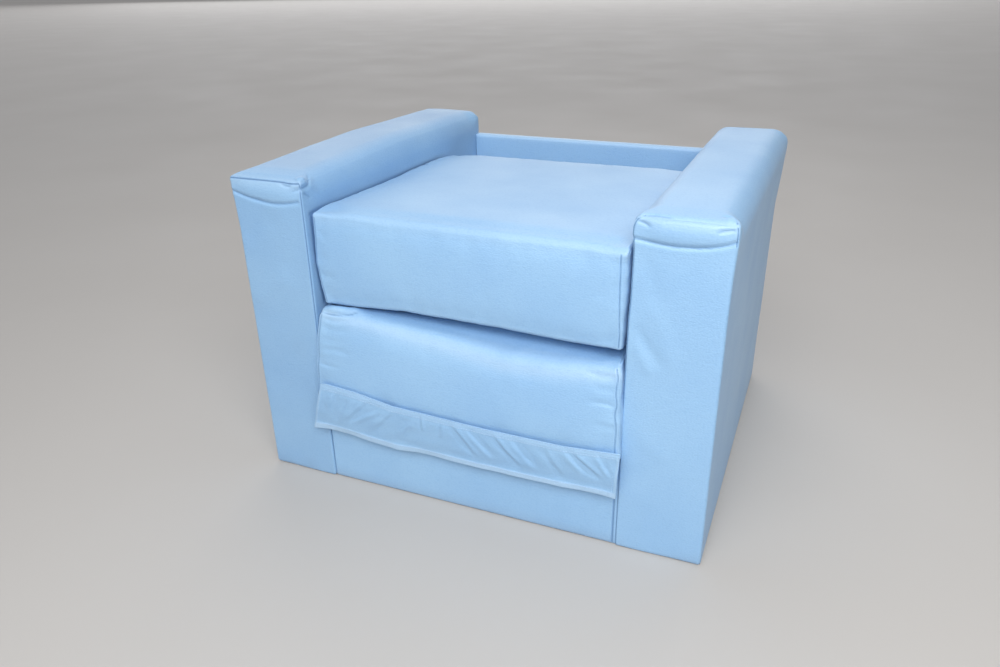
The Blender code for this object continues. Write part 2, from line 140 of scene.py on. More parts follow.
# Calendered PVC on a knitted backing: an embossed pebble grain, a satin skin, paler where it is stretched over an edge;
# its attributes also lay on painted highlight and painted shade
fauxLeather = {
    "blue": "#98C2E6",
    "deepBlue": "#91BCE3",
    "paleWearAndHighlight": "#B8D5EE",
    "grime": "#7F97B4",
    "seamAndShade": "#3C6BA0",
    "patchSize": 0.110,
    "grainSize": (0.0026, 0.0026, 0.0013),   # about 1 mm on the real sheet, coarser here so that it shows
    "grainDepth": 0.00016,
    "ribSize": (0.015, 0.015, 0.0012),       # fine level dashes of the roller's pattern
    "ribDepth": 0.00018,
    "creaseSize": (0.014, 0.014, 0.006),
    "creaseDepth": 0.00014,
    "waveSize": 0.045,
    "waveDepth": 0.0006,
}


def makeFauxLeather():
    made, tree, place = startMaterial("embossed PVC faux leather")
    setting = fauxLeather
    patch = noiseOf(tree, place, setting["patchSize"], 3.0)
    color = mixColor(tree, mapRange(tree, patch, 0.35, 0.65, 0.0, 1.0), srgb(setting["blue"]), srgb(setting["deepBlue"]))
    # Paler where worn, and where a painted highlight is laid along the lower cushion's bend
    wearAndHighlight = addNode(tree, "ShaderNodeAttribute", attribute_name="wearAndHighlight").outputs["Fac"]
    color = mixColor(tree, wearAndHighlight, color, srgb(setting["paleWearAndHighlight"]))
    grime = addNode(tree, "ShaderNodeAttribute", attribute_name="grime").outputs["Fac"]
    color = mixColor(tree, grime, color, srgb(setting["grime"]))
    # Darker along seams, and with painted shade in creases, folds and the gaps and contacts between parts
    seamAndShade = addNode(tree, "ShaderNodeAttribute", attribute_name="seamAndShade").outputs["Fac"]
    color = mixColor(tree, seamAndShade, color, srgb(setting["seamAndShade"]))
    cells = addNode(tree, "ShaderNodeTexVoronoi", {
        "Vector": stretched(tree, place, setting["grainSize"]), "Scale": 1.0, "Smoothness": 0.6, "Randomness": 0.9,
    }, feature="SMOOTH_F1").outputs["Distance"]
    pebble = mapRange(tree, cells, 0.15, 0.75, 1.0, 0.0)
    color = mixColor(tree, mapRange(tree, pebble, 0.0, 0.5, 0.10, 0.0), color, srgb(setting["deepBlue"]), "MULTIPLY")
    wave = bumpOf(tree, noiseOf(tree, place, setting["waveSize"], 1.0), setting["waveDepth"], 0.6)
    small = bumpOf(tree, noiseOf(tree, place, setting["creaseSize"], 2.0), setting["creaseDepth"], 0.6, wave)
    ribs = bumpOf(tree, noiseOf(tree, place, setting["ribSize"], 1.0), setting["ribDepth"], 0.8, small)
    grain = bumpOf(tree, pebble, setting["grainDepth"], 0.9, ribs)
    rough = mapRange(tree, patch, 0.3, 0.7, 0.48, 0.58)
    endMaterial(tree, color, rough, grain, **{"Specular IOR Level": 0.8, "Coat Weight": 0.08, "Coat Roughness": 0.45,
                                           "Sheen Weight": 0.06, "Sheen Roughness": 0.5})
    return made


def makePlain(name, color, second, size, rough, depth, metallic=0.0):   # mottled colour and a matching bump
    made, tree, place = startMaterial(name)
    spots = noiseOf(tree, place, size, 3.0)
    mixed = mixColor(tree, spots, srgb(color), srgb(second))
    endMaterial(tree, mixed, mapRange(tree, spots, 0.3, 0.7, rough * 0.9, rough * 1.1), bumpOf(tree, spots, depth), Metallic=metallic)
    return made


def makeWoven(name, color, second, thread, depth):   # two sets of crossing threads
    made, tree, place = startMaterial(name)
    waves = []
    for axis in ("X", "Z"):
        inputs = {"Vector": stretched(tree, place, thread), "Scale": 0.5}
        waves.append(addNode(tree, "ShaderNodeTexWave", inputs, bands_direction=axis).outputs["Fac"])
    weave = addNode(tree, "ShaderNodeMath", {0: waves[0], 1: waves[1]}, operation="MULTIPLY").outputs["Value"]
    mixed = mixColor(tree, weave, srgb(second), srgb(color))
    endMaterial(tree, mixed, 0.85, bumpOf(tree, weave, depth))
    return made


finish = {"leather": makeFauxLeather()}
# Polyester sewing thread, a shade paler than the sheet it closes
finish["thread"] = makePlain("polyester sewing thread", "#BAD6F2", "#A4C6EA", 0.0008, 0.55, 0.00005)
# Open-cell polyurethane foam: matt, cream, with fine pores
finish["foam"] = makePlain("open cell polyurethane foam", "#E9DDB2", "#CDBE8C", 0.0016, 0.95, 0.0006)
# Rotary-cut birch: pale, with long figure
finish["plywood"] = makePlain("birch plywood", "#D9B98A", "#B98F5C", (0.060, 0.060, 0.004), 0.65, 0.0002)
finish["beech"] = makePlain("turned beech", "#D8A878", "#B98555", (0.020, 0.002, 0.002), 0.55, 0.0001)
finish["zinc"] = makePlain("bright zinc plated steel", "#C9CBCD", "#AEB2B6", 0.002, 0.34, 0.00003, 1.0)
finish["hookAndLoop"] = makePlain("hook and loop tape", "#A9C6E8", "#7FA3CF", 0.0009, 0.90, 0.0006)
finish["webbing"] = makeWoven("woven polypropylene webbing", "#7FA9DC", "#5D8AC4", 0.0016, 0.0004)
finish["zipTape"] = makeWoven("woven polyester zip tape", "#8DB4E4", "#6F99D0", 0.0010, 0.0002)
finish["nylon"] = makePlain("nylon zip coil", "#A5C6EE", "#8AB0E0", 0.0020, 0.40, 0.00005)
finish["polythene"] = makePlain("moulded grey polythene", "#595C61", "#4B4E53", 0.004, 0.48, 0.00010)
# Spun-bonded polypropylene: black, flat, with point bonds
finish["nonwoven"] = makePlain("black spun-bonded nonwoven", "#26272B", "#1B1C1F", 0.0015, 0.95, 0.0003)
print("materials made:", len(finish))


# The camera stands where the photograph was taken from

cameraPlace = {
    "lens": 28.05,
    "sensor": 36.0,
    "place": (0.3681, -0.98785, 0.6323),
    "yaw": 0.4042,
    "pitch": 0.4339,
    "roll": -0.0189,
}


def makeCamera():
    yaw, pitch, roll = (cameraPlace[k] for k in ("yaw", "pitch", "roll"))
    ahead = Vector((-math.sin(yaw) * math.cos(pitch), math.cos(yaw) * math.cos(pitch), -math.sin(pitch)))
    level = Vector((math.cos(yaw), math.sin(yaw), 0))
    above = level.cross(ahead)
    across = math.cos(roll) * level + math.sin(roll) * above
    upward = math.cos(roll) * above - math.sin(roll) * level
    camera = bpy.data.objects.new("camera", bpy.data.cameras.new("camera"))
    camera.data.lens = cameraPlace["lens"]
    camera.data.sensor_width = cameraPlace["sensor"]
    camera.data.clip_start = 0.01
    turned = Matrix((across, upward, -ahead)).transposed().to_4x4()
    camera.matrix_world = Matrix.Translation(cameraPlace["place"]) @ turned
    bpy.context.scene.collection.objects.link(camera)
    bpy.context.scene.camera = camera


makeCamera()

# A large soft window light in front and a little to the right, weak fills, and a pale floor

lights = {
    "window": {"place": (0.54, -1.22, 1.20), "aim": (0.05, -0.1, 0.22), "size": (1.1, 0.8), "power": 17.5, "color": "#FFFFFF"},
    "daylight": {"place": (0.05, -1.50, 1.55), "aim": (0.0, 0.0, 0.2), "angle": 60, "power": 1.02, "color": "#FFFFFF"},
    "ceiling": {"place": (0.05, 1.00, 2.30), "aim": (0.0, 0.0, 0.3), "size": (2.0, 2.0), "power": 9.0, "color": "#FFFFFF"},
    "rearWall": {"place": (-8.0, 20.0, 8.5), "aim": (0.0, 0.0, 0.4), "size": (24.0, 15.0), "power": 1750, "color": "#F4F6FA"},
}
room = {"floor": "#C8C4BF", "speck": "#C4C0BB", "size": 90.0, "air": "#E9ECF4", "airStrength": 0.27}


def makeLights():
    for name, light in lights.items():
        if "angle" in light:
            data = bpy.data.lights.new(name, "SUN")
            data.angle = math.radians(light["angle"])
        else:
            data = bpy.data.lights.new(name, "AREA")
            data.shape = "RECTANGLE"
            data.size, data.size_y = light["size"]
        data.energy = light["power"]
        data.color = srgb(light["color"])[:3]
        lamp = bpy.data.objects.new(name, data)
        lamp.location = light["place"]
        lamp.visible_camera = False
        lamp.rotation_euler = (Vector(light["aim"]) - lamp.location).to_track_quat("-Z", "Y").to_euler()
        bpy.context.scene.collection.objects.link(lamp)
    world = bpy.data.worlds.new("room")
    world.use_nodes = True
    world.node_tree.nodes["Background"].inputs["Color"].default_value = srgb(room["air"])
    world.node_tree.nodes["Background"].inputs["Strength"].default_value = room["airStrength"]
    bpy.context.scene.world = world
    bpy.context.scene.view_settings.view_transform = "Standard"


def makeFloor():
    half = room["size"] / 2
    mesh = bpy.data.meshes.new("floor")
    mesh.from_pydata([(-half, -half, 0), (half, -half, 0), (half, half, 0), (-half, half, 0)], [], [(0, 1, 2, 3)])
    floor = bpy.data.objects.new("floor", mesh)
    bpy.context.scene.collection.objects.link(floor)
    mesh.materials.append(makePlain("pale studio floor", room["floor"], room["speck"], 0.5, 0.75, 0.0))
    floor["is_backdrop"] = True


makeLights()
makeFloor()
print("camera, lights and floor placed")


# Shapes: a closed skin over a box whose grid is finer where detail sits

def gridLine(knots):        # places along one axis, spaced as the (place, spacing) pairs say
    places, spacings = zip(*knots)
    at = np.linspace(places[0], places[-1], 4001)
    density = 1 / np.interp(at, places, spacings)
    count = np.concatenate(([0], np.cumsum((density[1:] + density[:-1]) / 2 * np.diff(at))))
    return np.interp(np.linspace(0, count[-1], max(4, round(count[-1])) + 1), count, at)


def boxGrid(lines):         # points and quads of a box's surface
    counts = [len(line) for line in lines]
    strides = np.array((counts[1] * counts[2], counts[2], 1))
    cells = []
    for a in range(3):
        b, c = (a + 1) % 3, (a + 2) % 3
        p, q = (g.ravel() for g in np.meshgrid(np.arange(counts[b] - 1), np.arange(counts[c] - 1), indexing="ij"))
        for end in (0, counts[a] - 1):
            corners = []
            for dp, dq in ((0, 0), (1, 0), (1, 1), (0, 1)):
                index = np.zeros((len(p), 3), int)
                index[:, a], index[:, b], index[:, c] = end, p + dp, q + dq
                corners.append(index @ strides)
            cells.append(np.stack(corners if end else corners[::-1], 1))
    used, quads = np.unique(np.concatenate(cells), return_inverse=True)
    index = np.stack(np.unravel_index(used, counts), 1)
    return np.stack([lines[a][index[:, a]] for a in range(3)], 1), quads.reshape(-1, 4)


def roundSwept(points, half, sweep, corner, end):
    # Rounds a centred box: `corner` is the radius of the section's corners at each point, `end` that of its two end rims
    a, b = [axis for axis in range(3) if axis != sweep]
    made = points.copy()
    flat = points[:, (a, b)]
    core = np.array((half[a], half[b])) - corner[:, None]
    over = np.maximum(np.abs(flat) - core, 0)
    length = np.linalg.norm(over, axis=1)
    shrink = np.where(length > 0, over.max(1) / np.maximum(length, 1e-12), 0)
    flat = np.sign(flat) * (np.minimum(np.abs(flat), core) + over * shrink[:, None])
    away = np.abs(flat) - core
    outside = np.maximum(away, 0)
    reach = np.linalg.norm(outside, axis=1)
    inCorner = (away > 0).all(1)
    depth = np.where(inCorner, corner - reach, corner - away.max(1))
    facing = np.where(inCorner[:, None], outside, np.eye(2)[away.argmax(1)])
    facing = np.sign(flat) * facing / np.maximum(np.linalg.norm(facing, axis=1, keepdims=True), 1e-12)
    endward = np.maximum(end - (half[sweep] - np.abs(points[:, sweep])), 0)
    sideward = np.maximum(end - depth, 0)
    slant = np.maximum(np.hypot(endward, sideward), 1e-12)
    flat = flat - facing * (sideward - end * sideward / slant * (endward > 0) - sideward * (endward <= 0))[:, None]
    along = np.minimum(np.abs(points[:, sweep]), half[sweep] - end) + np.where(sideward > 0, end * endward / slant, endward)
    made[:, a], made[:, b] = flat[:, 0], flat[:, 1]
    made[:, sweep] = np.sign(points[:, sweep]) * along
    return made


def pointNormals(points, quads):
    corner = [points[quads[:, i]] for i in range(4)]
    face = np.cross(corner[2] - corner[0], corner[3] - corner[1])
    made = np.zeros_like(points)
    for axis in range(3):
        for i in range(4):
            made[:, axis] += np.bincount(quads[:, i], face[:, axis], len(points))
    return made / np.maximum(np.linalg.norm(made, axis=1, keepdims=True), 1e-12)


def smoothStep(value, low=0.0, high=1.0):
    share = np.clip((value - low) / (high - low), 0, 1)
    return share * share * (3 - 2 * share)


def bell(value, width):
    return np.exp(-(value / width) ** 2)


def softNoise(points, size, seed):      # smooth values from -1 to 1, one swell in about every size
    table = np.random.default_rng(seed).uniform(-1, 1, (32, 32, 32))
    place = points / np.array(size)
    cell = np.floor(place).astype(int)
    part = place - cell
    part = part * part * (3 - 2 * part)
    total = np.zeros(len(points))
    for step in product((0, 1), repeat=3):
        share = np.prod(np.where(np.array(step, bool), part, 1 - part), axis=1)
        total += share * table[tuple(((cell + step) % 32).T)]
    return total


def smoothPath(knots, count=48):        # a curve through the knots, as evenly spaced points
    knots = np.array(knots, float)
    if len(knots) < 3:
        return np.linspace(knots[0], knots[-1], 2)
    ends = np.vstack((2 * knots[0] - knots[1], knots, 2 * knots[-1] - knots[-2]))
    made = []
    for share in np.linspace(0, len(knots) - 1, count):
        i = min(int(share), len(knots) - 2)
        t = share - i
        p, q, r, s = ends[i:i + 4]
        made.append(0.5 * (2 * q + (r - p) * t + (2 * p - 5 * q + 4 * r - s) * t ** 2 + (3 * q - p - 3 * r + s) * t ** 3))
    return np.array(made)


def pathDistance(points, path):         # how far each point is from the path, and at what share of its length
    best, where = np.full(len(points), np.inf), np.zeros(len(points))
    steps = np.linalg.norm(np.diff(path, axis=0), axis=1)
    start = np.concatenate(([0], np.cumsum(steps)))
    for i, length in enumerate(steps):
        d = path[i + 1] - path[i]
        t = np.clip((points - path[i]) @ d / max(d @ d, 1e-15), 0, 1)
        away = np.linalg.norm(points - path[i] - t[:, None] * d, axis=1)
        closer = away < best
        best[closer] = away[closer]
        where[closer] = (start[i] + t[closer] * length) / start[-1]
    return best, where


def fold(points, knots, width, height, puff=0.0, fade=(0.12, 0.12)):
    # A ridge, or with a negative height a crease, along a path; puff raises the cloth on both sides of it
    away, where = pathDistance(points, smoothPath(knots))
    line = bell(away, width)
    shape = height * line + puff * (1 - line) * bell(away, 3 * width)
    for share, end in zip(fade, (where, 1 - where)):
        if share > 0:
            shape = shape * smoothStep(end, 0, share)
    return shape


def sewn(points, knots, width=1.0 * mm, depth=0.9 * mm, lip=0.5 * mm, mark=0.9):
    # A seam pulled into the surface between two soft lips, and how strongly each point is marked with its line
    away, _ = pathDistance(points, smoothPath(knots))
    line = bell(away, width)
    return lip * (1 - line) * bell(away, 3.5 * width) - depth * line, mark * bell(away, 0.8 * width)


def makeMesh(name, points, quads, material, smooth=True, attributes=None):
    mesh = bpy.data.meshes.new(name)
    mesh.from_pydata(points.tolist(), [], quads.tolist())
    if smooth:
        mesh.shade_smooth()
    for key, values in (attributes or {}).items():
        mesh.attributes.new(key, "FLOAT", "POINT").data.foreach_set("value", values.astype(np.float32))
    mesh.materials.append(material)
    piece = bpy.data.objects.new(name, mesh)
    bpy.context.scene.collection.objects.link(piece)
    return piece


def dress(piece, body, slot, *nodes):   # what every finished piece needs
    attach(piece, body)
    if nodes:
        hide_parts(*nodes)
    return piece


class Skin:                 # a worked surface that later seams and stitches can be laid on
    def __init__(self, rest, points, quads):
        self.rest, self.points, self.quads = rest, points, quads
        self.tree = None

    def place(self, spots, lift=0.0):   # where spots of the plain box lie on the worked surface
        if self.tree is None:
            self.tree = KDTree(len(self.rest))
            for i, p in enumerate(self.rest):
                self.tree.insert(p, i)
            self.tree.balance()
            self.normals = pointNormals(self.points, self.quads)
        made = []
        for spot in spots:
            near = self.tree.find_n(spot, 4)
            weight = np.array([1 / (n[2] + 1e-5) ** 2 for n in near])
            index = [n[1] for n in near]
            weight /= weight.sum()
            made.append(weight @ self.points[index] + lift * (weight @ self.normals[index]))
        return np.array(made)


# Stitches are laid by Geometry Nodes along a line of points

stitch = {"pitch": 3.4 * mm, "length": 2.6 * mm, "radius": 0.30 * mm, "made of": "thread"}


def addSocket(tree, name, kind, way="INPUT"):
    return tree.interface.new_socket(name=name, in_out=way, socket_type=kind)


def stitchTree():
    tree = bpy.data.node_groups.new("stitches along a line", "GeometryNodeTree")
    addSocket(tree, "Line", "NodeSocketGeometry")
    for name in ("Pitch", "Length", "Radius"):
        addSocket(tree, name, "NodeSocketFloat")
    addSocket(tree, "Thread", "NodeSocketMaterial")
    addSocket(tree, "Stitches", "NodeSocketGeometry", "OUTPUT")
    given = addNode(tree, "NodeGroupInput").outputs
    curve = addNode(tree, "GeometryNodeMeshToCurve", {"Mesh": given["Line"]}).outputs["Curve"]
    dots = addNode(tree, "GeometryNodeResampleCurve", {"Curve": curve, "Length": given["Pitch"]}, mode="LENGTH")
    tangent = addNode(tree, "GeometryNodeInputTangent").outputs["Tangent"]
    aim = addNode(tree, "FunctionNodeAlignRotationToVector", {"Vector": tangent}, axis="X").outputs["Rotation"]
    bead = addNode(tree, "GeometryNodeMeshUVSphere", {"Segments": 8, "Rings": 5, "Radius": 1.0}).outputs["Mesh"]
    halfLength = addNode(tree, "ShaderNodeMath", {0: given["Length"], 1: 0.5}, operation="MULTIPLY").outputs["Value"]
    size = addNode(tree, "ShaderNodeCombineXYZ", {"X": halfLength, "Y": given["Radius"], "Z": given["Radius"]})
    laid = addNode(tree, "GeometryNodeInstanceOnPoints", {
        "Points": dots.outputs["Curve"], "Instance": bead, "Rotation": aim, "Scale": size.outputs["Vector"],
    }).outputs["Instances"]
    real = addNode(tree, "GeometryNodeRealizeInstances", {"Geometry": laid}).outputs["Geometry"]
    painted = addNode(tree, "GeometryNodeSetMaterial", {"Geometry": real, "Material": given["Thread"]}).outputs["Geometry"]
    addNode(tree, "NodeGroupOutput", {"Stitches": painted})
    return tree


def runTree(name, mesh, tree, values):  # the plain mesh that a tree makes from a mesh
    source = bpy.data.objects.new(name + "Source", mesh)
    bpy.context.scene.collection.objects.link(source)
    nodes = source.modifiers.new(tree.name, "NODES")
    nodes.node_group = tree
    for item in tree.interface.items_tree:
        if item.in_out == "INPUT" and item.name in values:
            nodes[item.identifier] = values[item.name]
    graph = bpy.context.evaluated_depsgraph_get()
    made = bpy.data.meshes.new_from_object(source.evaluated_get(graph), depsgraph=graph)
    source.modifiers.clear()
    bpy.data.objects.remove(source)
    made.name = name
    made.shade_smooth()
    piece = bpy.data.objects.new(name, made)
    bpy.context.scene.collection.objects.link(piece)
    return piece


def lineMesh(name, paths):
    points = np.concatenate(paths)
    edges, start = [], 0
    for path in paths:
        edges += [(start + i, start + i + 1) for i in range(len(path) - 1)]
        start += len(path)
    mesh = bpy.data.meshes.new(name)
    mesh.from_pydata(points.tolist(), edges, [])
    return mesh


stitches = stitchTree()


def sew(name, paths, body, slot="faux_leather", **changes):
    setting = {**stitch, **changes}
    values = {"Pitch": setting["pitch"], "Length": setting["length"], "Radius": setting["radius"], "Thread": finish[setting["made of"]]}
    piece = runTree(name, lineMesh(name, paths), stitches, values)
    return dress(piece, body, slot)


def straight(start, end, step=2 * mm):
    start, end = np.array(start, float), np.array(end, float)
    return np.linspace(start, end, max(2, int(np.linalg.norm(end - start) / step) + 1))


# Arms: a squared front, where the cover is sewn, that turns into a round roll behind it

armFronts = {
    "left": {
        "node": "arm_cover_l", "side": -1, "seed": 11, "handled": 0.30, "paintedFrontShade": 0.10, "seamWidth": 1.3 * mm,
        "innerRoll": 0.026, "outerRoll": 0.016, "frontRoll": 0.003, "rearRoll": 0.012,
        "topRim": 0.0022, "innerRim": 0.0024, "outerRim": 0.0040,
        # How far the inner side leans in over the seat at its front, by height
        "inFront": ((0.0, -0.0004), (0.080, -0.0010), (0.200, -0.0006), (0.300, 0.0), (0.413, 0.0)),
        # How far the stuffed top rises above its board's pad, by distance behind the front
        "rise": ((0.000, 0.0), (0.004, 0.0012), (0.014, 0.0040), (0.034, 0.0070), (0.080, 0.0088), (0.150, 0.0108), (0.260, 0.0122),
                 (0.370, 0.0100), (0.470, 0.0085), (0.515, 0.0060)),
        # How far the outer side stands out, by height: at the front and at the rear
        "outFront": ((0.0, -0.0006), (0.250, 0.0), (0.345, 0.0010), (0.383, 0.0026), (0.400, 0.0040), (0.413, 0.0030)),
        "outRear": ((0.0, 0.0), (0.300, 0.0008), (0.350, 0.0030), (0.385, 0.0040), (0.413, 0.0040)),
        # The crease under the pad, as (x, z) on the arm's front
        "crease": ((-0.3006, 0.3964), (-0.2759, 0.3888), (-0.2459, 0.3843), (-0.2247, 0.3853), (-0.2041, 0.3894)),
        "creaseWidth": 0.0022, "creaseDepth": 0.0016, "creaseShade": 0.40, "bandBulge": 0.0030,
        "seams": (
            ((-0.3000, 0, 0.4122), (-0.2500, 0, 0.4126), (-0.2270, 0, 0.4124), (-0.2120, 0, 0.4112), (-0.2005, 0, 0.4128)),
            ((-0.2006, 0, 0.4120), (-0.2008, 0, 0.3000), (-0.2008, 0, 0.2000), (-0.2008, 0, 0.1000)),
        ),
        # Each fold: its path as (x, behind the front, z), width, height
        "folds": (
            (((-0.2150, 0.036, 0.4130), (-0.2060, 0.030, 0.4130), (-0.2000, 0.024, 0.4100), (-0.2000, 0.018, 0.4040),
              (-0.2000, 0.008, 0.4040), (-0.2020, 0.000, 0.4050), (-0.2190, 0.000, 0.3995)), 0.0026, -0.0018),
            (((-0.2280, 0, 0.4115), (-0.2200, 0, 0.4085), (-0.2110, 0, 0.4080)), 0.0020, -0.0013),
            (((-0.2120, 0, 0.4118), (-0.2050, 0, 0.4110), (-0.2002, 0, 0.4120)), 0.0016, -0.0012),
            (((-0.2000, 0.020, 0.3880), (-0.2000, 0.010, 0.3960), (-0.2000, 0.003, 0.4000)), 0.0030, -0.0010),
            (((-0.2100, 0.004, 0.4130), (-0.2050, 0.012, 0.4130), (-0.2020, 0.018, 0.4130)), 0.0050, 0.0018),
            (((-0.2960, 0, 0.3300), (-0.2650, 0, 0.3560), (-0.2300, 0, 0.3700)), 0.0130, -0.0012),
            (((-0.2960, 0, 0.2350), (-0.2650, 0, 0.2700), (-0.2200, 0, 0.3000)), 0.0150, 0.0017),
            (((-0.2860, 0, 0.1100), (-0.2550, 0, 0.1650), (-0.2200, 0, 0.2100)), 0.0140, -0.0012),
        ),
    },
    "right": {
        "node": "arm_cover_r", "side": 1, "seed": 23, "handled": 0.05, "paintedFrontShade": 0.0, "seamWidth": 1.0 * mm,
        "innerRoll": 0.022, "outerRoll": 0.026, "frontRoll": 0.004, "rearRoll": 0.020,
        "topRim": 0.0075, "innerRim": 0.0026, "outerRim": 0.0042,
        "inFront": ((0.0, 0.0035), (0.100, 0.0035), (0.270, 0.0025), (0.300, 0.0024), (0.322, 0.0013), (0.376, 0.0010),
                    (0.3855, 0.0017), (0.392, 0.0026), (0.400, 0.0025), (0.4067, 0.0010), (0.413, -0.0010)),
        "rise": ((0.000, 0.0), (0.010, 0.0016), (0.030, 0.0036), (0.080, 0.0048), (0.200, 0.0055), (0.350, 0.0045), (0.470, 0.0026),
                 (0.515, 0.0010)),
        "outFront": ((0.0, -0.0008), (0.310, -0.0012), (0.357, -0.0004), (0.388, 0.0008), (0.413, 0.0010)),
        "outRear": ((0.0, 0.0), (0.300, 0.0010), (0.330, 0.0034), (0.352, 0.0050), (0.380, 0.0062), (0.413, 0.0060)),
        "crease": ((0.1984, 0.3893), (0.2208, 0.3861), (0.2422, 0.3844), (0.2668, 0.3858), (0.2835, 0.3891), (0.2996, 0.3952)),
        "creaseWidth": 0.0024, "creaseDepth": 0.0016, "creaseShade": 0.40, "bandBulge": 0.0036,
        "seams": (
            ((0.2960, 0.004, 0.4130), (0.2990, 0, 0.4080), (0.2993, 0, 0.4000), (0.2990, 0, 0.3905)),
            ((0.2080, 0.003, 0.4130), (0.2020, 0, 0.4100), (0.2004, 0, 0.4040), (0.2002, 0, 0.3900)),
            ((0.2003, 0.0004, 0.3890), (0.2003, 0.0004, 0.2000), (0.2008, 0, 0.0900), (0.2008, 0, 0.0020)),
        ),
        "folds": (
            (((0.2010, 0.000, 0.4080), (0.2110, 0.000, 0.4054), (0.2180, 0, 0.4010)), 0.0022, -0.0014),
            (((0.2030, 0.002, 0.4130), (0.2190, 0.004, 0.4130), (0.2400, 0.002, 0.4130)), 0.0022, -0.0010),
            (((0.2985, 0.003, 0.4130), (0.2965, 0.012, 0.4130), (0.2890, 0.018, 0.4130), (0.2790, 0.014, 0.4130)), 0.0026, -0.0020),
            (((0.2780, 0.000, 0.4030), (0.2880, 0.000, 0.4060), (0.2985, 0.000, 0.4080)), 0.0024, -0.0014),
            (((0.3000, 0.004, 0.4080), (0.3000, 0.010, 0.4020), (0.3000, 0.008, 0.3920)), 0.0034, -0.0014),
            (((0.2960, 0.012, 0.4130), (0.2900, 0.010, 0.4130), (0.2840, 0.006, 0.4130)), 0.0050, 0.0016),
            (((0.2100, 0, 0.3300), (0.2350, 0, 0.2900), (0.2500, 0, 0.2400)), 0.0100, 0.0008),
            (((0.2050, 0, 0.3780), (0.2200, 0, 0.3500), (0.2300, 0, 0.3100)), 0.0080, -0.0006),
            (((0.2050, 0, 0.1900), (0.2300, 0, 0.1500), (0.2650, 0, 0.1350)), 0.0120, 0.0006),
            (((0.2060, 0, 0.2990), (0.2200, 0, 0.2730), (0.2400, 0, 0.2440)), 0.0060, -0.0012),
            (((0.2060, 0, 0.2780), (0.2160, 0, 0.2560), (0.2300, 0, 0.2320)), 0.0060, 0.0009),
        ),
    },
}
# Painted shadow where the upper cushion's edge meets each arm's inner side, as (behind the front, z)
contactShadowLines = {
    "dark": 0.60,
    "width": 0.0026,
    "over the top": ((0.0124, 0.3725), (0.0384, 0.3738), (0.0684, 0.3725), (0.0984, 0.3715), (0.1584, 0.3700), (0.2184, 0.3696),
                     (0.2784, 0.3697), (0.3384, 0.3690), (0.3684, 0.3665), (0.3984, 0.3630)),
    "down the front": ((0.0139, 0.3690), (0.0134, 0.3400), (0.0134, 0.3200), (0.0144, 0.3000), (0.0169, 0.2800), (0.0194, 0.2570)),
}
hemDrop = 2.5 * mm
armGrid = {"across": 0.0024, "along": 0.0052, "up": 0.0042, "fine": 0.0009}


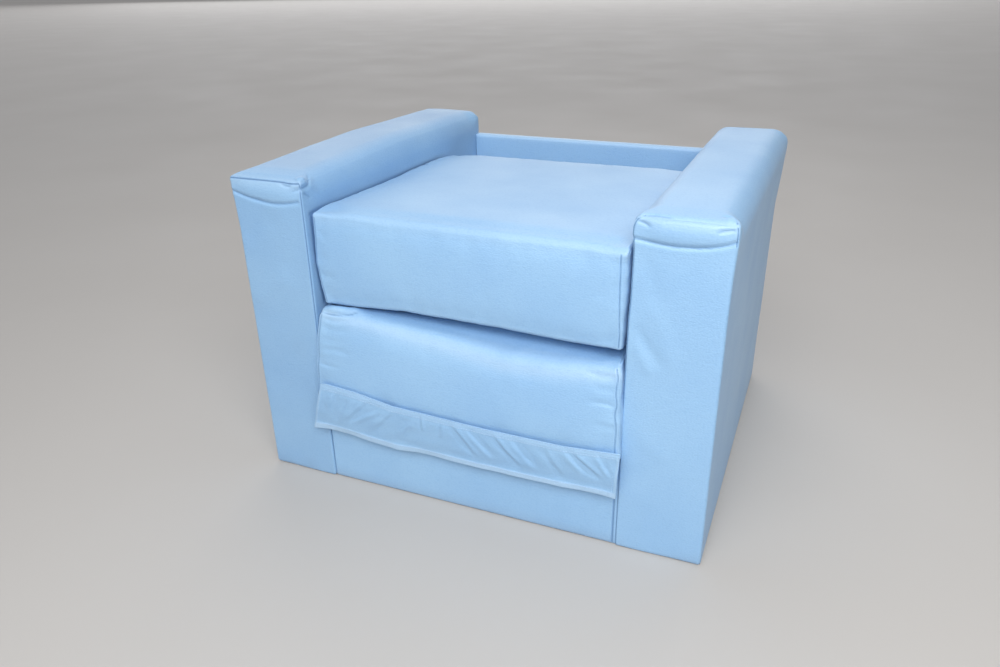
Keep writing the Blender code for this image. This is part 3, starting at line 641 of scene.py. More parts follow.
def makeArm(name, arm):
    low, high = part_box(arm["node"])
    low.z -= 0.1 * mm       # just under the boards that it closes over
    centre, half = np.array((low + high) / 2), np.array((high - low) / 2)
    fine = armGrid["fine"]
    spread = armGrid["across"]
    lines = [
        gridLine([(-half[0], fine), (-half[0] + 0.008, fine), (-half[0] + 0.025, spread), (half[0] - 0.025, spread),
                  (half[0] - 0.008, fine), (half[0], fine)]),
        gridLine([(-half[1], fine), (-half[1] + 0.008, fine), (-half[1] + 0.045, 0.0024), (-half[1] + 0.120, armGrid["along"]),
                  (half[1] - 0.040, armGrid["along"]), (half[1] - 0.010, 0.0014), (half[1], 0.0014)]),
        gridLine([(-half[2], 0.0020), (-half[2] + 0.040, armGrid["up"]), (half[2] - 0.060, armGrid["up"]),
                  (half[2] - 0.036, 0.0016), (half[2] - 0.015, 0.0014), (half[2] - 0.008, fine), (half[2], fine)]),
    ]
    box, quads = boxGrid(lines)
    rest = box + centre
    fromFront, fromRear = rest[:, 1] - low.y, high.y - rest[:, 1]
    inner = box[:, 0] * arm["side"] < 0
    roll = np.where(inner, arm["innerRoll"], arm["outerRoll"])
    roll = roll + (arm["frontRoll"] - roll) * (1 - smoothStep(fromFront, 0.0, 0.040))
    roll = roll + (arm["rearRoll"] - roll) * (1 - smoothStep(fromRear, 0.0, 0.035))
    top = box[:, 2] > 0
    corner = np.where(top, roll, 0.0035)
    nearTop = smoothStep(half[2] - box[:, 2], 0.0, 0.012)
    across = box[:, 0] / half[0]
    sideRim = arm["innerRim"] + (arm["outerRim"] - arm["innerRim"]) * smoothStep(across * arm["side"], -0.5, 0.5)
    rim = np.where(box[:, 1] < 0, arm["topRim"] + (sideRim - arm["topRim"]) * nearTop, 0.012 - 0.006 * nearTop)
    points = roundSwept(box, half, 1, corner, rim) + centre
    # The top is level at the sewn front and crowned behind it
    lift = smoothStep(rest[:, 2], high.z - 0.034, high.z)
    points[:, 2] += np.interp(fromFront, *np.array(arm["rise"]).T) * (1 - 0.25 * across ** 2) * lift
    depthwise = fromFront / (high.y - low.y)
    out = np.interp(rest[:, 2], *np.array(arm["outFront"]).T) * (1 - depthwise)
    out += np.interp(rest[:, 2], *np.array(arm["outRear"]).T) * depthwise
    points[:, 0] += arm["side"] * out * smoothStep(across * arm["side"], 0.2, 1.0)
    lean = np.interp(rest[:, 2], *np.array(arm["inFront"]).T) * (1 - smoothStep(fromFront, 0.010, 0.120))
    points[:, 0] -= arm["side"] * lean * smoothStep(-across * arm["side"], 0.4, 1.0)
    # A slack line along the roll, as the foam under it gives
    points[:, 2] += 0.0012 * softNoise(rest, (0.200, 0.120, 1.0), arm["seed"]) * lift
    normals = pointNormals(points, quads)
    offset = np.zeros(len(points))
    knots = np.array([(x, low.y, z) for x, z in arm["crease"]])
    creaseZ = np.interp(rest[:, 0], knots[:, 0], knots[:, 2])
    height = np.clip((rest[:, 2] - creaseZ) / (high.z - creaseZ), 0, 1)
    edges = smoothStep(half[0] - np.abs(box[:, 0]), 0.0, 0.030)
    onFront = bell(np.maximum(fromFront, 0), 0.006)
    offset += arm["bandBulge"] * np.sin(math.pi * height) ** 0.8 * edges * onFront
    offset += fold(rest, knots, arm["creaseWidth"], -arm["creaseDepth"], 0.0004, (0.02, 0.02))
    marks = np.zeros(len(points))
    for seamAndShade in arm["seams"]:
        line = [(x, low.y + back, z) for x, back, z in seamAndShade]
        shape, mark = sewn(rest, line, arm["seamWidth"], 0.8 * mm, 0.25 * mm, 1.0)
        offset += shape
        marks = np.maximum(marks, mark)
    # Painted shade darkens the front panel below the crease a little
    panel = bell(np.maximum(fromFront, 0), 0.002) * smoothStep(creaseZ - rest[:, 2], 0.0, 0.010)
    marks = np.maximum(marks, arm["paintedFrontShade"] * panel)
    # Painted shade along the crease under the pad
    marks = np.maximum(marks, arm["creaseShade"] * bell(pathDistance(rest, smoothPath(knots))[0], 0.0011))
    # Painted shadow along the lines where the upper cushion meets the arm's inner side
    for key, fade in (("over the top", 0.25), ("down the front", 0.0)):
        line = [(arm["side"] * 0.200, low.y + back, z) for back, z in contactShadowLines[key]]
        marks = np.maximum(marks, contactShadowLines["dark"] * fold(rest, line, contactShadowLines["width"], 1.0, 0.0, (0.0, fade)))
    for path, width, tall in arm["folds"]:
        path = [(x, low.y + back, z) for x, back, z in path]
        offset += fold(rest, path, width, tall, 0.0, (0.3, 0.3))
        # Painted shade darkens each narrow crease
        if tall < 0 and width < 0.0032:
            marks = np.maximum(marks, 0.4 * fold(rest, path, 0.0010, 1.0, 0.0, (0.3, 0.3)))
    offset += 0.00035 * softNoise(rest, (0.030, 0.050, 0.070), arm["seed"] + 1) * smoothStep(rest[:, 2], 0.0, 0.05)
    # The pad rounds out past the boards on its long sides
    side = smoothStep(np.abs(box[:, 0]), half[0] - 0.004, half[0])
    pad = bell(rest[:, 2] - (high.z - 0.022), 0.014) * smoothStep(fromFront, 0.010, 0.060)
    offset += 0.0008 * side * pad
    points = points + normals * offset[:, None]
    # The hem is folded under and stapled, and reaches the floor outside the dust cover
    outward = half[0] - box[:, 0] * arm["side"]
    under = (1 - smoothStep(np.minimum(np.minimum(fromFront, fromRear), outward), 0.009, 0.0125)) * (1 - smoothStep(rest[:, 2], low.z, 0.03))
    points[:, 2] -= hemDrop * under
    wearAndHighlight = 0.35 * bell(half[2] - box[:, 2], 0.010) * onFront
    grime = 0.35 * bell(rest[:, 2] - low.z, 0.012) * (0.5 + 0.5 * softNoise(rest, (0.02, 0.02, 0.02), 5))
    onTop = smoothStep(rest[:, 2], high.z - 0.010, high.z) * smoothStep(half[0] - np.abs(box[:, 0]), -0.002, 0.030)
    grime += arm["handled"] * onTop * smoothStep(fromFront, 0.0, 0.060)
    piece = makeMesh(name, points, quads, finish["leather"], attributes={
        "wearAndHighlight": wearAndHighlight, "grime": np.clip(grime, 0, 1), "seamAndShade": marks,
    })
    dress(piece, "frame", "faux_leather", arm["node"])
    return Skin(rest, points, quads)


armSkins = {}
for key, arm in armFronts.items():
    armSkins[key] = makeArm("armCover" + key.title(), arm)
print("arm covers made")


# Seat cushions: foam blocks in sewn covers

cushions = {
    "upper": {
        "node": "upper_cover", "foam": "upper_foam", "body": "upper_cushion", "seed": 41, "crown": 6 * mm,
        "frontTop": ((-0.19, 0.0030), (-0.16, 0.0060), (-0.10, 0.0085), (0.19, 0.0085)),      # the top front edge's radius, by place across
        "frontBottom": 0.0045, "rearTop": 0.007, "rearBottom": 0.006, "topRim": 0.0030,
        "leftRim": ((0.2516, 0.0024), (0.376, 0.0024)),                      # the front's end edges' radius, by height
        "rightRim": ((0.2516, 0.0030), (0.277, 0.0030), (0.320, 0.0060), (0.376, 0.0085)),
        "frontLeft": 0.0075, "frontRight": -0.0035, "lean": 0.0, "bulge": 0.0030,
        # How far each end is moved to the right, by height
        "left": ((0.2516, 0.0000), (0.267, -0.0020), (0.291, -0.0052), (0.317, -0.0076), (0.342, -0.0052), (0.376, -0.0050)),
        "right": ((0.2516, 0.0030), (0.277, 0.0035), (0.320, 0.0050), (0.376, 0.0062)),
        # The top's height above the plain block, from the front edge to the rear
        "top": ((-0.244, 0.0014), (-0.219, 0.0030), (-0.176, 0.0014), (-0.131, 0.0006), (-0.077, -0.0010),
                (-0.027, -0.0018), (0.0305, -0.0028), (0.093, -0.0040), (0.130, -0.0065), (0.152, -0.0085)),
        "topCrown": 0.0030, "topSkew": (0.0, 0.0), "edgeDrop": (0.0028, 0.0015),
        # How much the front's lower edge lifts, by place across
        "lift": ((-0.19, 0.0050), (-0.149, 0.0070), (-0.078, 0.0120), (0.051, 0.0120), (0.111, 0.0100), (0.19, 0.0100)),
        "liftReach": 0.060, "spread": 0.0050,
        "flare": 0.0, "wornEdge": 0.25, "gapShade": 0.75,
        "folds": (
            (((-0.1912, 0.200, 0.3761), (-0.1905, 0.300, 0.3761), (-0.1895, 0.394, 0.3761)), 0.0036, 0.0030),
            (((-0.1900, 0.330, 0.3761), (-0.1840, 0.338, 0.3761), (-0.1780, 0.352, 0.3761)), 0.0030, -0.0014),
            (((-0.1900, 0.290, 0.3761), (-0.1860, 0.300, 0.3761), (-0.1800, 0.305, 0.3761)), 0.0024, -0.0010),
            (((-0.1880, 0.000, 0.3560), (-0.1780, 0.000, 0.3500), (-0.1700, 0.000, 0.3420)), 0.0040, -0.0009),
            (((-0.1880, 0.000, 0.3000), (-0.1780, 0.000, 0.2960), (-0.1640, 0.000, 0.2980)), 0.0036, -0.0009),
            (((0.1860, 0.000, 0.3400), (0.1720, 0.000, 0.3300), (0.1600, 0.000, 0.3160)), 0.0050, -0.0007),
        ),
    },
    "lower": {
        "node": "lower_cover", "foam": "lower_foam", "body": "lower_cushion", "seed": 57, "crown": 0.0,
        "frontTop": ((-0.19, 0.010), (-0.14, 0.014), (-0.074, 0.022), (0.05, 0.027), (0.12, 0.025), (0.17, 0.018), (0.19, 0.014)),
        "frontBottom": 0.009, "rearTop": 0.006, "rearBottom": 0.006, "topRim": 0.0035,
        "leftRim": ((0.1268, 0.0036), (0.2513, 0.0036)),
        "rightRim": ((0.1268, 0.0042), (0.150, 0.0056), (0.168, 0.0036), (0.188, 0.0054), (0.204, 0.0034), (0.220, 0.0058),
                     (0.236, 0.0036), (0.2513, 0.0056)),
        "frontLeft": 0.0, "frontRight": 0.0, "lean": 0.0100, "bulge": 0.0040,
        "left": ((0.1268, -0.0150), (0.155, -0.0130), (0.184, -0.0104), (0.213, -0.0075), (0.235, -0.0045), (0.2513, -0.0015)),
        "right": ((0.1268, 0.0100), (0.142, 0.0098), (0.181, 0.0080), (0.214, 0.0066), (0.235, 0.0066), (0.242, 0.0052),
                  (0.2513, 0.0040)),
        "top": ((-0.264, -0.0005), (-0.240, 0.0004), (-0.200, 0.0), (0.152, 0.0)),
        "topCrown": 0.0, "topSkew": (0.0035, -0.0035), "edgeDrop": (0.0, 0.0),
        "lift": ((-0.19, 0.0), (0.19, 0.0)),
        "liftReach": 0.020, "spread": 0.0040,
        "flare": 0.006, "wornEdge": 0.0, "gapShade": 0.60,
        # Behind this line, as (x, z) on the front, painted shade darkens the sheet where it lies in the fold under the
        # upper cushion, and a painted highlight pales the bend just in front of it
        "ridge": ((-0.190, 0.2560), (-0.150, 0.2540), (-0.074, 0.2480), (-0.008, 0.2420), (0.055, 0.2340), (0.116, 0.2360),
                  (0.173, 0.2440), (0.190, 0.2480)),
        "foldShade": 0.42, "ridgeHighlight": 0.40,
        # Each fold: its path as (x, behind the front, z), width, height
        "folds": (
            (((-0.1920, 0.010, 0.2513), (-0.1700, 0.008, 0.2513), (-0.1300, 0.018, 0.2513)), 0.0065, 0.0050),
            (((-0.1880, 0.000, 0.2490), (-0.1720, 0.000, 0.2480), (-0.1520, 0.003, 0.2513), (-0.1340, 0.014, 0.2513)), 0.0020, -0.0016),
            (((-0.1500, 0.000, 0.2510), (-0.0740, 0.000, 0.2495), (-0.0080, 0, 0.2430), (0.0550, 0, 0.2330), (0.1160, 0, 0.2350),
              (0.1730, 0, 0.2450), (0.1900, 0, 0.2490)), 0.0080, 0.0009),
            (((-0.1880, 0.000, 0.2420), (-0.1700, 0.000, 0.2400), (-0.1450, 0.000, 0.2440)), 0.0026, -0.0015),
            (((-0.1880, 0.000, 0.2300), (-0.1650, 0.000, 0.2290), (-0.1400, 0.000, 0.2330)), 0.0026, -0.0015),
            (((-0.1880, 0.000, 0.2160), (-0.1680, 0.000, 0.2150), (-0.1500, 0.000, 0.2190)), 0.0030, -0.0012),
            (((-0.1880, 0.000, 0.2000), (-0.1640, 0.000, 0.2040), (-0.1400, 0.000, 0.2020)), 0.0032, -0.0013),
            (((-0.1880, 0.000, 0.1840), (-0.1700, 0.000, 0.1810), (-0.1560, 0.000, 0.1830)), 0.0028, -0.0010),
            (((0.1880, 0.000, 0.2380), (0.1700, 0.000, 0.2340), (0.1500, 0.000, 0.2360)), 0.0030, -0.0015),
            (((0.1880, 0.000, 0.2200), (0.1720, 0.000, 0.2180), (0.1560, 0.000, 0.2230)), 0.0028, -0.0012),
            (((0.1880, 0.000, 0.1980), (0.1700, 0.000, 0.2010), (0.1540, 0.000, 0.1980)), 0.0030, -0.0013),
            (((0.1880, 0.000, 0.1700), (0.1720, 0.000, 0.1720), (0.1600, 0.000, 0.1700)), 0.0028, -0.0010),
        ),
    },
}
zipPlace = {"halfLength": 0.160, "halfTape": 0.008, "sink": 1.5 * mm}
cushionGrid = {"coarse": 0.0046, "edge": 0.0010, "settle": 0.0090}
swelling = {"pressure": 4.0, "frames": 20, "cap": 0.0018, "coarse": 0.0090, "edge": 0.0060, "slack": -0.006}


def cushionLines(half, centre, zipZ, coarse, edge, settle):
    def ends(size):
        return [(-size, edge), (-size + settle, edge), (-size + 3 * settle, coarse),
                (size - 3 * settle, coarse), (size - settle, edge), (size, edge)]
    upright = ends(half[2])
    if zipZ is not None:
        for way in (-1, 1):
            at = zipZ - centre[2] + way * zipPlace["halfTape"]
            upright += [(at - 0.003, 0.0022), (at - 0.0012, 0.0007), (at + 0.0012, 0.0007), (at + 0.003, 0.0022)]
        upright.sort()
    return [gridLine(ends(half[0])), gridLine(ends(half[1])), gridLine(upright)]


def armGap(points, flare):      # how far from the middle a cushion may reach: to the arms, and wider in front of them
    return 0.1982 + np.clip((-0.2492 - points[:, 1]) * 1.2, 0, flare)


def shapeCushion(form, centre, half, low, high, lines):     # the block's rounded shape, before any cloth detail
    box, quads = boxGrid(lines)
    rest = box + centre
    front = 1 - smoothStep(rest[:, 1] - low.y, 0.0, 0.080)
    ahead, topmost = box[:, 1] < 0, box[:, 2] > 0
    frontTop = np.interp(rest[:, 0], *np.array(form["frontTop"]).T)
    corner = np.select((ahead & topmost, ahead, topmost), (frontTop, form["frontBottom"], form["rearTop"]), form["rearBottom"])
    leftRim, rightRim = (np.interp(rest[:, 2], *np.array(form[key]).T) for key in ("leftRim", "rightRim"))
    frontRim = np.where(box[:, 0] < 0, leftRim, rightRim)
    rim = form["topRim"] + (frontRim - form["topRim"]) * smoothStep(high.z - rest[:, 2], 0.0, 0.012)
    rim = rim + (0.0045 - rim) * smoothStep(rest[:, 1] - low.y, 0.02, 0.10)
    points = roundSwept(box, half, 0, corner, rim) + centre
    up = (rest[:, 2] - low.z) / (high.z - low.z)
    across = rest[:, 0] / half[0]
    skew = form["frontLeft"] + (form["frontRight"] - form["frontLeft"]) * (across + 1) / 2
    points[:, 1] += front * (skew + form["lean"] * up - form["bulge"] * np.sin(math.pi * up) * (1 - 0.6 * across ** 4))
    for key, side in (("left", -1), ("right", 1)):
        table = np.array(form[key])
        out = np.interp(rest[:, 2], table[:, 0], table[:, 1]) * (side if key == "right" else 1)
        onSide = smoothStep(side * across, 0.55, 1.0)
        fade = 0.35 + 0.65 * (1 - smoothStep(rest[:, 1] - low.y, 0.0, 0.060))
        points[:, 0] += (out * fade + side * form["spread"] * (1 - fade) / 0.65) * onSide
    # The block keeps clear of the arms, apart from the part in front of them
    limit = armGap(points, form["flare"])
    points[:, 0] = np.clip(points[:, 0], -limit, limit)
    table = np.array(form["top"])
    depthwise = np.clip((rest[:, 1] - low.y) / (high.y - low.y), 0, 1)
    raised = np.interp(rest[:, 1], table[:, 0], table[:, 1])
    tilt = form["topSkew"][0] + (form["topSkew"][1] - form["topSkew"][0]) * (across + 1) / 2
    raised = raised + tilt * (1 - smoothStep(rest[:, 1] - low.y, 0.010, 0.055))
    raised = raised + form["topCrown"] * (1 - across ** 2) * np.sin(math.pi * depthwise) ** 0.5
    raised = raised - np.where(across < 0, *form["edgeDrop"]) * smoothStep(np.abs(across), 0.70, 1.0)
    points[:, 2] += raised * smoothStep(up, 0.3, 1.0)
    table = np.array(form["lift"])
    lift = np.interp(rest[:, 0], table[:, 0], table[:, 1]) * (1 - smoothStep(rest[:, 1] - low.y, 0.0, form["liftReach"]))
    points[:, 2] += lift * (1 - smoothStep(up, 0.0, 0.35))
    return rest, points, quads


def swell(form, centre, half, low, high):
    # The cover as tight cloth over the block: held along its seams and where it lies on something, pressed out elsewhere
    coarse = swelling["coarse"]
    lines = cushionLines(half, centre, None, coarse, swelling["edge"], 0.012)
    rest, points, quads = shapeCushion(form, centre, half, low, high, lines)
    piece = makeMesh("swelling", points, quads, finish["leather"])
    onSeam = (half[0] - np.abs(rest[:, 0]) < 0.001) & (
        (half[1] - np.abs(rest[:, 1] - centre[1]) < 0.004) | (half[2] - np.abs(rest[:, 2] - centre[2]) < 0.004))
    onEdge = (half[1] - np.abs(rest[:, 1] - centre[1]) < 0.001) & (half[2] - np.abs(rest[:, 2] - centre[2]) < 0.001)
    below = (rest[:, 2] - low.z < 0.001) & (rest[:, 1] - low.y > 0.02)
    held = piece.vertex_groups.new(name="held")
    held.add(np.flatnonzero(onSeam).tolist(), 1.0, "REPLACE")
    held.add(np.flatnonzero(onEdge & ~onSeam).tolist(), 0.7, "REPLACE")
    held.add(np.flatnonzero(below & ~onSeam).tolist(), 0.9, "REPLACE")
    cloth = piece.modifiers.new("cloth", "CLOTH")
    cloth.settings.quality = 6
    cloth.settings.tension_stiffness = 30
    cloth.settings.compression_stiffness = 30
    cloth.settings.shear_stiffness = 12
    cloth.settings.bending_stiffness = 0.4
    cloth.settings.shrink_min = swelling["slack"]
    cloth.settings.use_pressure = True
    cloth.settings.uniform_pressure_force = swelling["pressure"]
    cloth.settings.vertex_group_mass = "held"
    cloth.settings.effector_weights.gravity = 0
    cloth.collision_settings.use_collision = False
    scene = bpy.context.scene
    for number in range(1, swelling["frames"] + 1):
        scene.frame_set(number)
    graph = bpy.context.evaluated_depsgraph_get()
    made = piece.evaluated_get(graph).to_mesh()
    after = np.empty(len(points) * 3)
    made.vertices.foreach_get("co", after)
    piece.evaluated_get(graph).to_mesh_clear()
    piece.modifiers.clear()
    bpy.data.objects.remove(piece)
    scene.frame_set(1)
    moved = after.reshape(-1, 3) - points
    far = np.linalg.norm(moved, axis=1, keepdims=True)
    return rest, moved * (np.tanh(far / swelling["cap"]) * swelling["cap"] / np.maximum(far, 1e-9))


def carried(rest, moved, fineRest, reach):      # a coarse grid's movement on a finer grid
    tree = KDTree(len(rest))
    for i, p in enumerate(rest):
        tree.insert(p, i)
    tree.balance()
    made = np.zeros((len(fineRest), 3))
    for i, p in enumerate(fineRest):
        near = tree.find_n(p, 6)
        weight = np.exp(-(np.array([n[2] for n in near]) / reach) ** 2) + 1e-9
        made[i] = weight @ moved[[n[1] for n in near]] / weight.sum()
    return made


def zipLevel(key):
    low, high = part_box(key + "_zip")
    return (low.z + high.z) / 2


def makeCushion(key):
    form = cushions[key]
    low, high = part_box(form["node"])
    high.z -= form["crown"]
    centre, half = np.array((low + high) / 2), np.array((high - low) / 2)
    zipZ = zipLevel(key)
    lines = cushionLines(half, centre, zipZ, cushionGrid["coarse"], cushionGrid["edge"], cushionGrid["settle"])
    rest, points, quads = shapeCushion(form, centre, half, low, high, lines)
    coarseRest, moved = swell(form, centre, half, low, high)
    grown = carried(coarseRest, moved, rest, 0.008)
    print(key, "cushion swells", round(float(np.abs(grown).max()) * 1000, 2), "mm at most")
    points = points + grown
    normals = pointNormals(points, quads)
    fromFront, fromTop, fromBottom = rest[:, 1] - low.y, high.z - rest[:, 2], rest[:, 2] - low.z
    fromEnd = half[0] - np.abs(rest[:, 0])
    offset, marks = np.zeros(len(points)), np.zeros(len(points))
    # Seams run round both end panels, a little in from the edge on the front's right
    for side in (-1, 1):
        x = side * (half[0] - 0.0012)
        rims = np.array(form["rightRim"] if side > 0 else form["leftRim"])
        upright = [(side * (half[0] - np.interp(z, rims[:, 0], rims[:, 1])), low.y, z)
                   for z in np.linspace(low.z + 0.005, high.z - 0.006, 9)]
        rear = [(x, high.y, low.z + 0.006), (x, high.y, high.z - 0.006)]
        for path, dark in ((upright, 0.75), ([(x, low.y + 0.006, high.z), (x, high.y - 0.006, high.z)], 0.5), (rear, 0.5)):
            shape, mark = sewn(rest, path, 0.8 * mm, 0.9 * mm, 0.4 * mm, dark)
            offset += shape
            marks = np.maximum(marks, mark)
    # Puckers where the seams gather the sheet
    pucker = softNoise(rest, (0.400, 0.010, 0.010), form["seed"]) * bell(fromEnd, 0.018)
    offset += (0.0003 + 0.0005 * bell(fromFront, 0.02)) * pucker * (fromBottom > 0.002)
    for path, width, tall in form.get("folds", ()):
        path = [(x, low.y + back, z) for x, back, z in path]
        offset += fold(rest, path, width, tall, 0.0, (0.3, 0.3))
        # Painted shade darkens each narrow crease
        if tall < 0 and width < 0.0025:
            marks = np.maximum(marks, 0.6 * fold(rest, path, 0.0011, 1.0, 0.0, (0.2, 0.2)))
    # Painted shade in the fold under the upper cushion, and a painted highlight along the bend in front of it
    ridgeHighlight = 0.0
    if "ridge" in form:
        past = rest[:, 2] - np.interp(rest[:, 0], *np.array(form["ridge"]).T) + fromFront
        inFold = smoothStep(past, 0.0, 0.020) * (1 - smoothStep(past, 0.035, 0.060)) * (fromTop < 0.030)
        marks = np.maximum(marks, form["foldShade"] * inFold)
        ridgeHighlight = form["ridgeHighlight"] * bell(past + 0.008, 0.009) * (fromTop < 0.040)
    # The slack of the top and front, and a groove that the zip lies in
    offset += 0.0004 * softNoise(rest, (0.110, 0.070, 0.060), form["seed"] + 1) * (fromBottom > 0.002)
    recess = smoothStep(zipPlace["halfTape"] + 0.0009 - np.abs(rest[:, 2] - zipZ), 0, 0.0008)
    recess = recess * (np.abs(rest[:, 0]) < zipPlace["halfLength"] + 0.002) * (high.y - rest[:, 1] < 1e-6)
    offset = np.where(high.y - rest[:, 1] < 1e-6, offset * 0.3, offset) - zipPlace["sink"] * recess
    points = points + normals * offset[:, None]
    # The rear face stays where the strip and the zip lie on it
    points[:, 1] = np.minimum(points[:, 1], high.y)
    if key == "upper":
        points[:, 2] = np.maximum(points[:, 2], low.z)
    # Painted shade darkens an end's edge along its gap to the arm
    gap = armGap(points, form["flare"]) - np.abs(points[:, 0])
    rim = (fromTop < 0.0015) | (fromFront < 0.0015)
    marks = np.maximum(marks, form["gapShade"] * bell(np.maximum(gap - 0.0022, 0), 0.0015) * rim)
    # The pale mix takes the edge wear and the painted highlight on the bend
    wearAndHighlight = form["wornEdge"] * bell(fromFront, 0.010) * bell(fromTop, 0.010) + 0.15 * bell(fromEnd, 0.003) + ridgeHighlight
    grime = 0.3 * bell(fromBottom, 0.006) * bell(fromFront, 0.010)
    piece = makeMesh(key + "CushionCover", points, quads, finish["leather"], attributes={"wearAndHighlight": wearAndHighlight, "grime": grime, "seamAndShade": marks})
    dress(piece, form["body"], "faux_leather", form["node"])
    return Skin(rest, points, quads)


skins = {key: makeCushion(key) for key in cushions}
print("cushion covers made")

# Plain rounded covers over the back and the base

panels = {
    "backCover": {"node": "back_cover", "corner": 0.0045, "rim": 0.0012, "wave": 0.0004, "seed": 71, "rise": (0.0062, 0.0036), "hemAt": "rear"},
    "baseCover": {"node": "base_cover", "corner": 0.0035, "rim": 0.0010, "wave": 0.0006, "seed": 73, "rise": (0.0, 0.0), "hemAt": "front",
                  "seams": (((0.1932, 0.0060), (0.1932, 0.0800)), ((0.1985, 0.0060), (0.1985, 0.0800)))},
}


def makePanel(name, form):
    low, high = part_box(form["node"])
    low.z -= 0.2 * mm       # just under the board that it closes over
    centre, half = np.array((low + high) / 2), np.array((high - low) / 2)

    def ends(size, edge=0.0012):
        near, middle = size - min(0.010, size * 0.3), max(size - 0.024, size * 0.4)
        return [(-size, edge), (-near, edge), (-middle, 0.005), (middle, 0.005), (near, edge), (size, edge)]
    box, quads = boxGrid([gridLine(ends(side)) for side in half])
    rest = box + centre
    corner = np.full(len(rest), min(form["corner"], half.min() * 0.6))
    points = roundSwept(box, half, 0, corner, form["rim"]) + centre
    normals = pointNormals(points, quads)
    onEnd = smoothStep(half[0] - np.abs(box[:, 0]), 0.001, 0.012)
    offset = form["wave"] * softNoise(rest, (0.070, 0.050, 0.040), form["seed"]) * onEnd * smoothStep(rest[:, 2] - low.z, 0.0, 0.010)
    marks = np.zeros(len(points))
    for seamAndShade in form.get("seams", ()):
        shape, mark = sewn(rest, [(x, low.y, z) for x, z in seamAndShade], 1.1 * mm, 1.0 * mm, 0.2 * mm, 1.0)
        offset += shape
        marks = np.maximum(marks, mark)
    points = points + normals * offset[:, None]
    rise = form["rise"][0] + (form["rise"][1] - form["rise"][0]) * (rest[:, 0] / half[0] + 1) / 2
    points[:, 2] += rise * smoothStep(rest[:, 2], high.z - 0.03, high.z)
    behind = rest[:, 1] - low.y if form["hemAt"] == "front" else high.y - rest[:, 1]
    points[:, 2] -= hemDrop * (1 - smoothStep(behind, 0.008, 0.0115)) * (1 - smoothStep(rest[:, 2], low.z, 0.03))
    wearAndHighlight = 0.4 * bell(high.z - rest[:, 2], 0.006)
    grime = 0.4 * bell(rest[:, 2] - low.z, 0.010) * (low.z < 0.05)
    piece = makeMesh(name, points, quads, finish["leather"], attributes={"wearAndHighlight": wearAndHighlight, "grime": grime, "seamAndShade": marks})
    dress(piece, "frame", "faux_leather", form["node"])
    return Skin(rest, points, quads)


for name, form in panels.items():
    skins[name] = makePanel(name, form)

# The hinge flap: a hemmed strip sewn to the lower cushion, that hangs over the joint and the base's top edge

flap = {
    "thick": 1.5 * mm,
    "top": ((-0.1975, 0.1560), (-0.1840, 0.1578), (-0.1425, 0.1544), (-0.0880, 0.1453), (0.0366, 0.1399), (0.1366, 0.1389),
            (0.2000, 0.1437)),
    "bottom": ((-0.2235, 0.0850), (-0.2170, 0.0826), (-0.1955, 0.0843), (-0.1596, 0.0830), (-0.1256, 0.0784), (-0.0906, 0.0758),
               (-0.0610, 0.0782), (0.0285, 0.0762), (0.1025, 0.0760), (0.1500, 0.0775), (0.1950, 0.0800)),
    "leftEnd": (-0.1925, -0.2165),      # at the top and at the bottom
    "rightEnd": (0.2022, 0.1985),
    # The outer face's distance ahead, by height
    "profile": ((0.060, -0.2545), (0.078, -0.2565), (0.100, -0.2615), (0.118, -0.2645), (0.132, -0.2660), (0.145, -0.2666),
                (0.160, -0.2662)),
    "hem": 0.0088,
    "sideHem": 0.0036,
    "topHem": 0.0092,
    "hemRise": 0.0006,
    # Each wrinkle from its upper to its lower end, as (x, z), width, height
    "wrinkles": (
        ((-0.172, 0.146), (-0.186, 0.118), 0.0050, 0.0012), ((-0.150, 0.143), (-0.178, 0.100), 0.0060, -0.0010),
        ((-0.126, 0.142), (-0.158, 0.108), 0.0060, 0.0014), ((-0.108, 0.137), (-0.152, 0.109), 0.0055, -0.0016),
        ((-0.086, 0.136), (-0.122, 0.100), 0.0070, 0.0014), ((-0.062, 0.130), (-0.088, 0.104), 0.0055, -0.0012),
        ((-0.048, 0.138), (-0.050, 0.118), 0.0030, -0.0012), ((-0.020, 0.134), (-0.026, 0.112), 0.0040, -0.0008),
        ((-0.006, 0.134), (0.022, 0.096), 0.0060, -0.0014), ((0.012, 0.134), (0.044, 0.098), 0.0060, 0.0012),
        ((0.048, 0.132), (0.080, 0.094), 0.0055, -0.0014), ((0.070, 0.132), (0.100, 0.096), 0.0070, 0.0012),
        ((0.110, 0.132), (0.134, 0.092), 0.0060, -0.0008), ((0.136, 0.134), (0.162, 0.104), 0.0060, 0.0012),
        ((0.148, 0.130), (0.180, 0.104), 0.0055, -0.0014), ((0.176, 0.136), (0.190, 0.110), 0.0045, 0.0012),
    ),
    "wrinkleGain": 2.2,
    "wrinkleWidth": 0.9,
    "curl": 0.0040,             # the right end stands off
}


def flapPlace(across, down):    # where a share across and down the flap lies, on its outer face
    lefts, rights = (flap[k][0] + (flap[k][1] - flap[k][0]) * down for k in ("leftEnd", "rightEnd"))
    x = lefts + (rights - lefts) * across
    top = np.interp(x, *np.array(flap["top"]).T)
    bottom = np.interp(x, *np.array(flap["bottom"]).T)
    z = top + (bottom - top) * down
    profile = np.array(flap["profile"])
    return np.stack((x, np.interp(z, profile[:, 0], profile[:, 1]), z), 1)


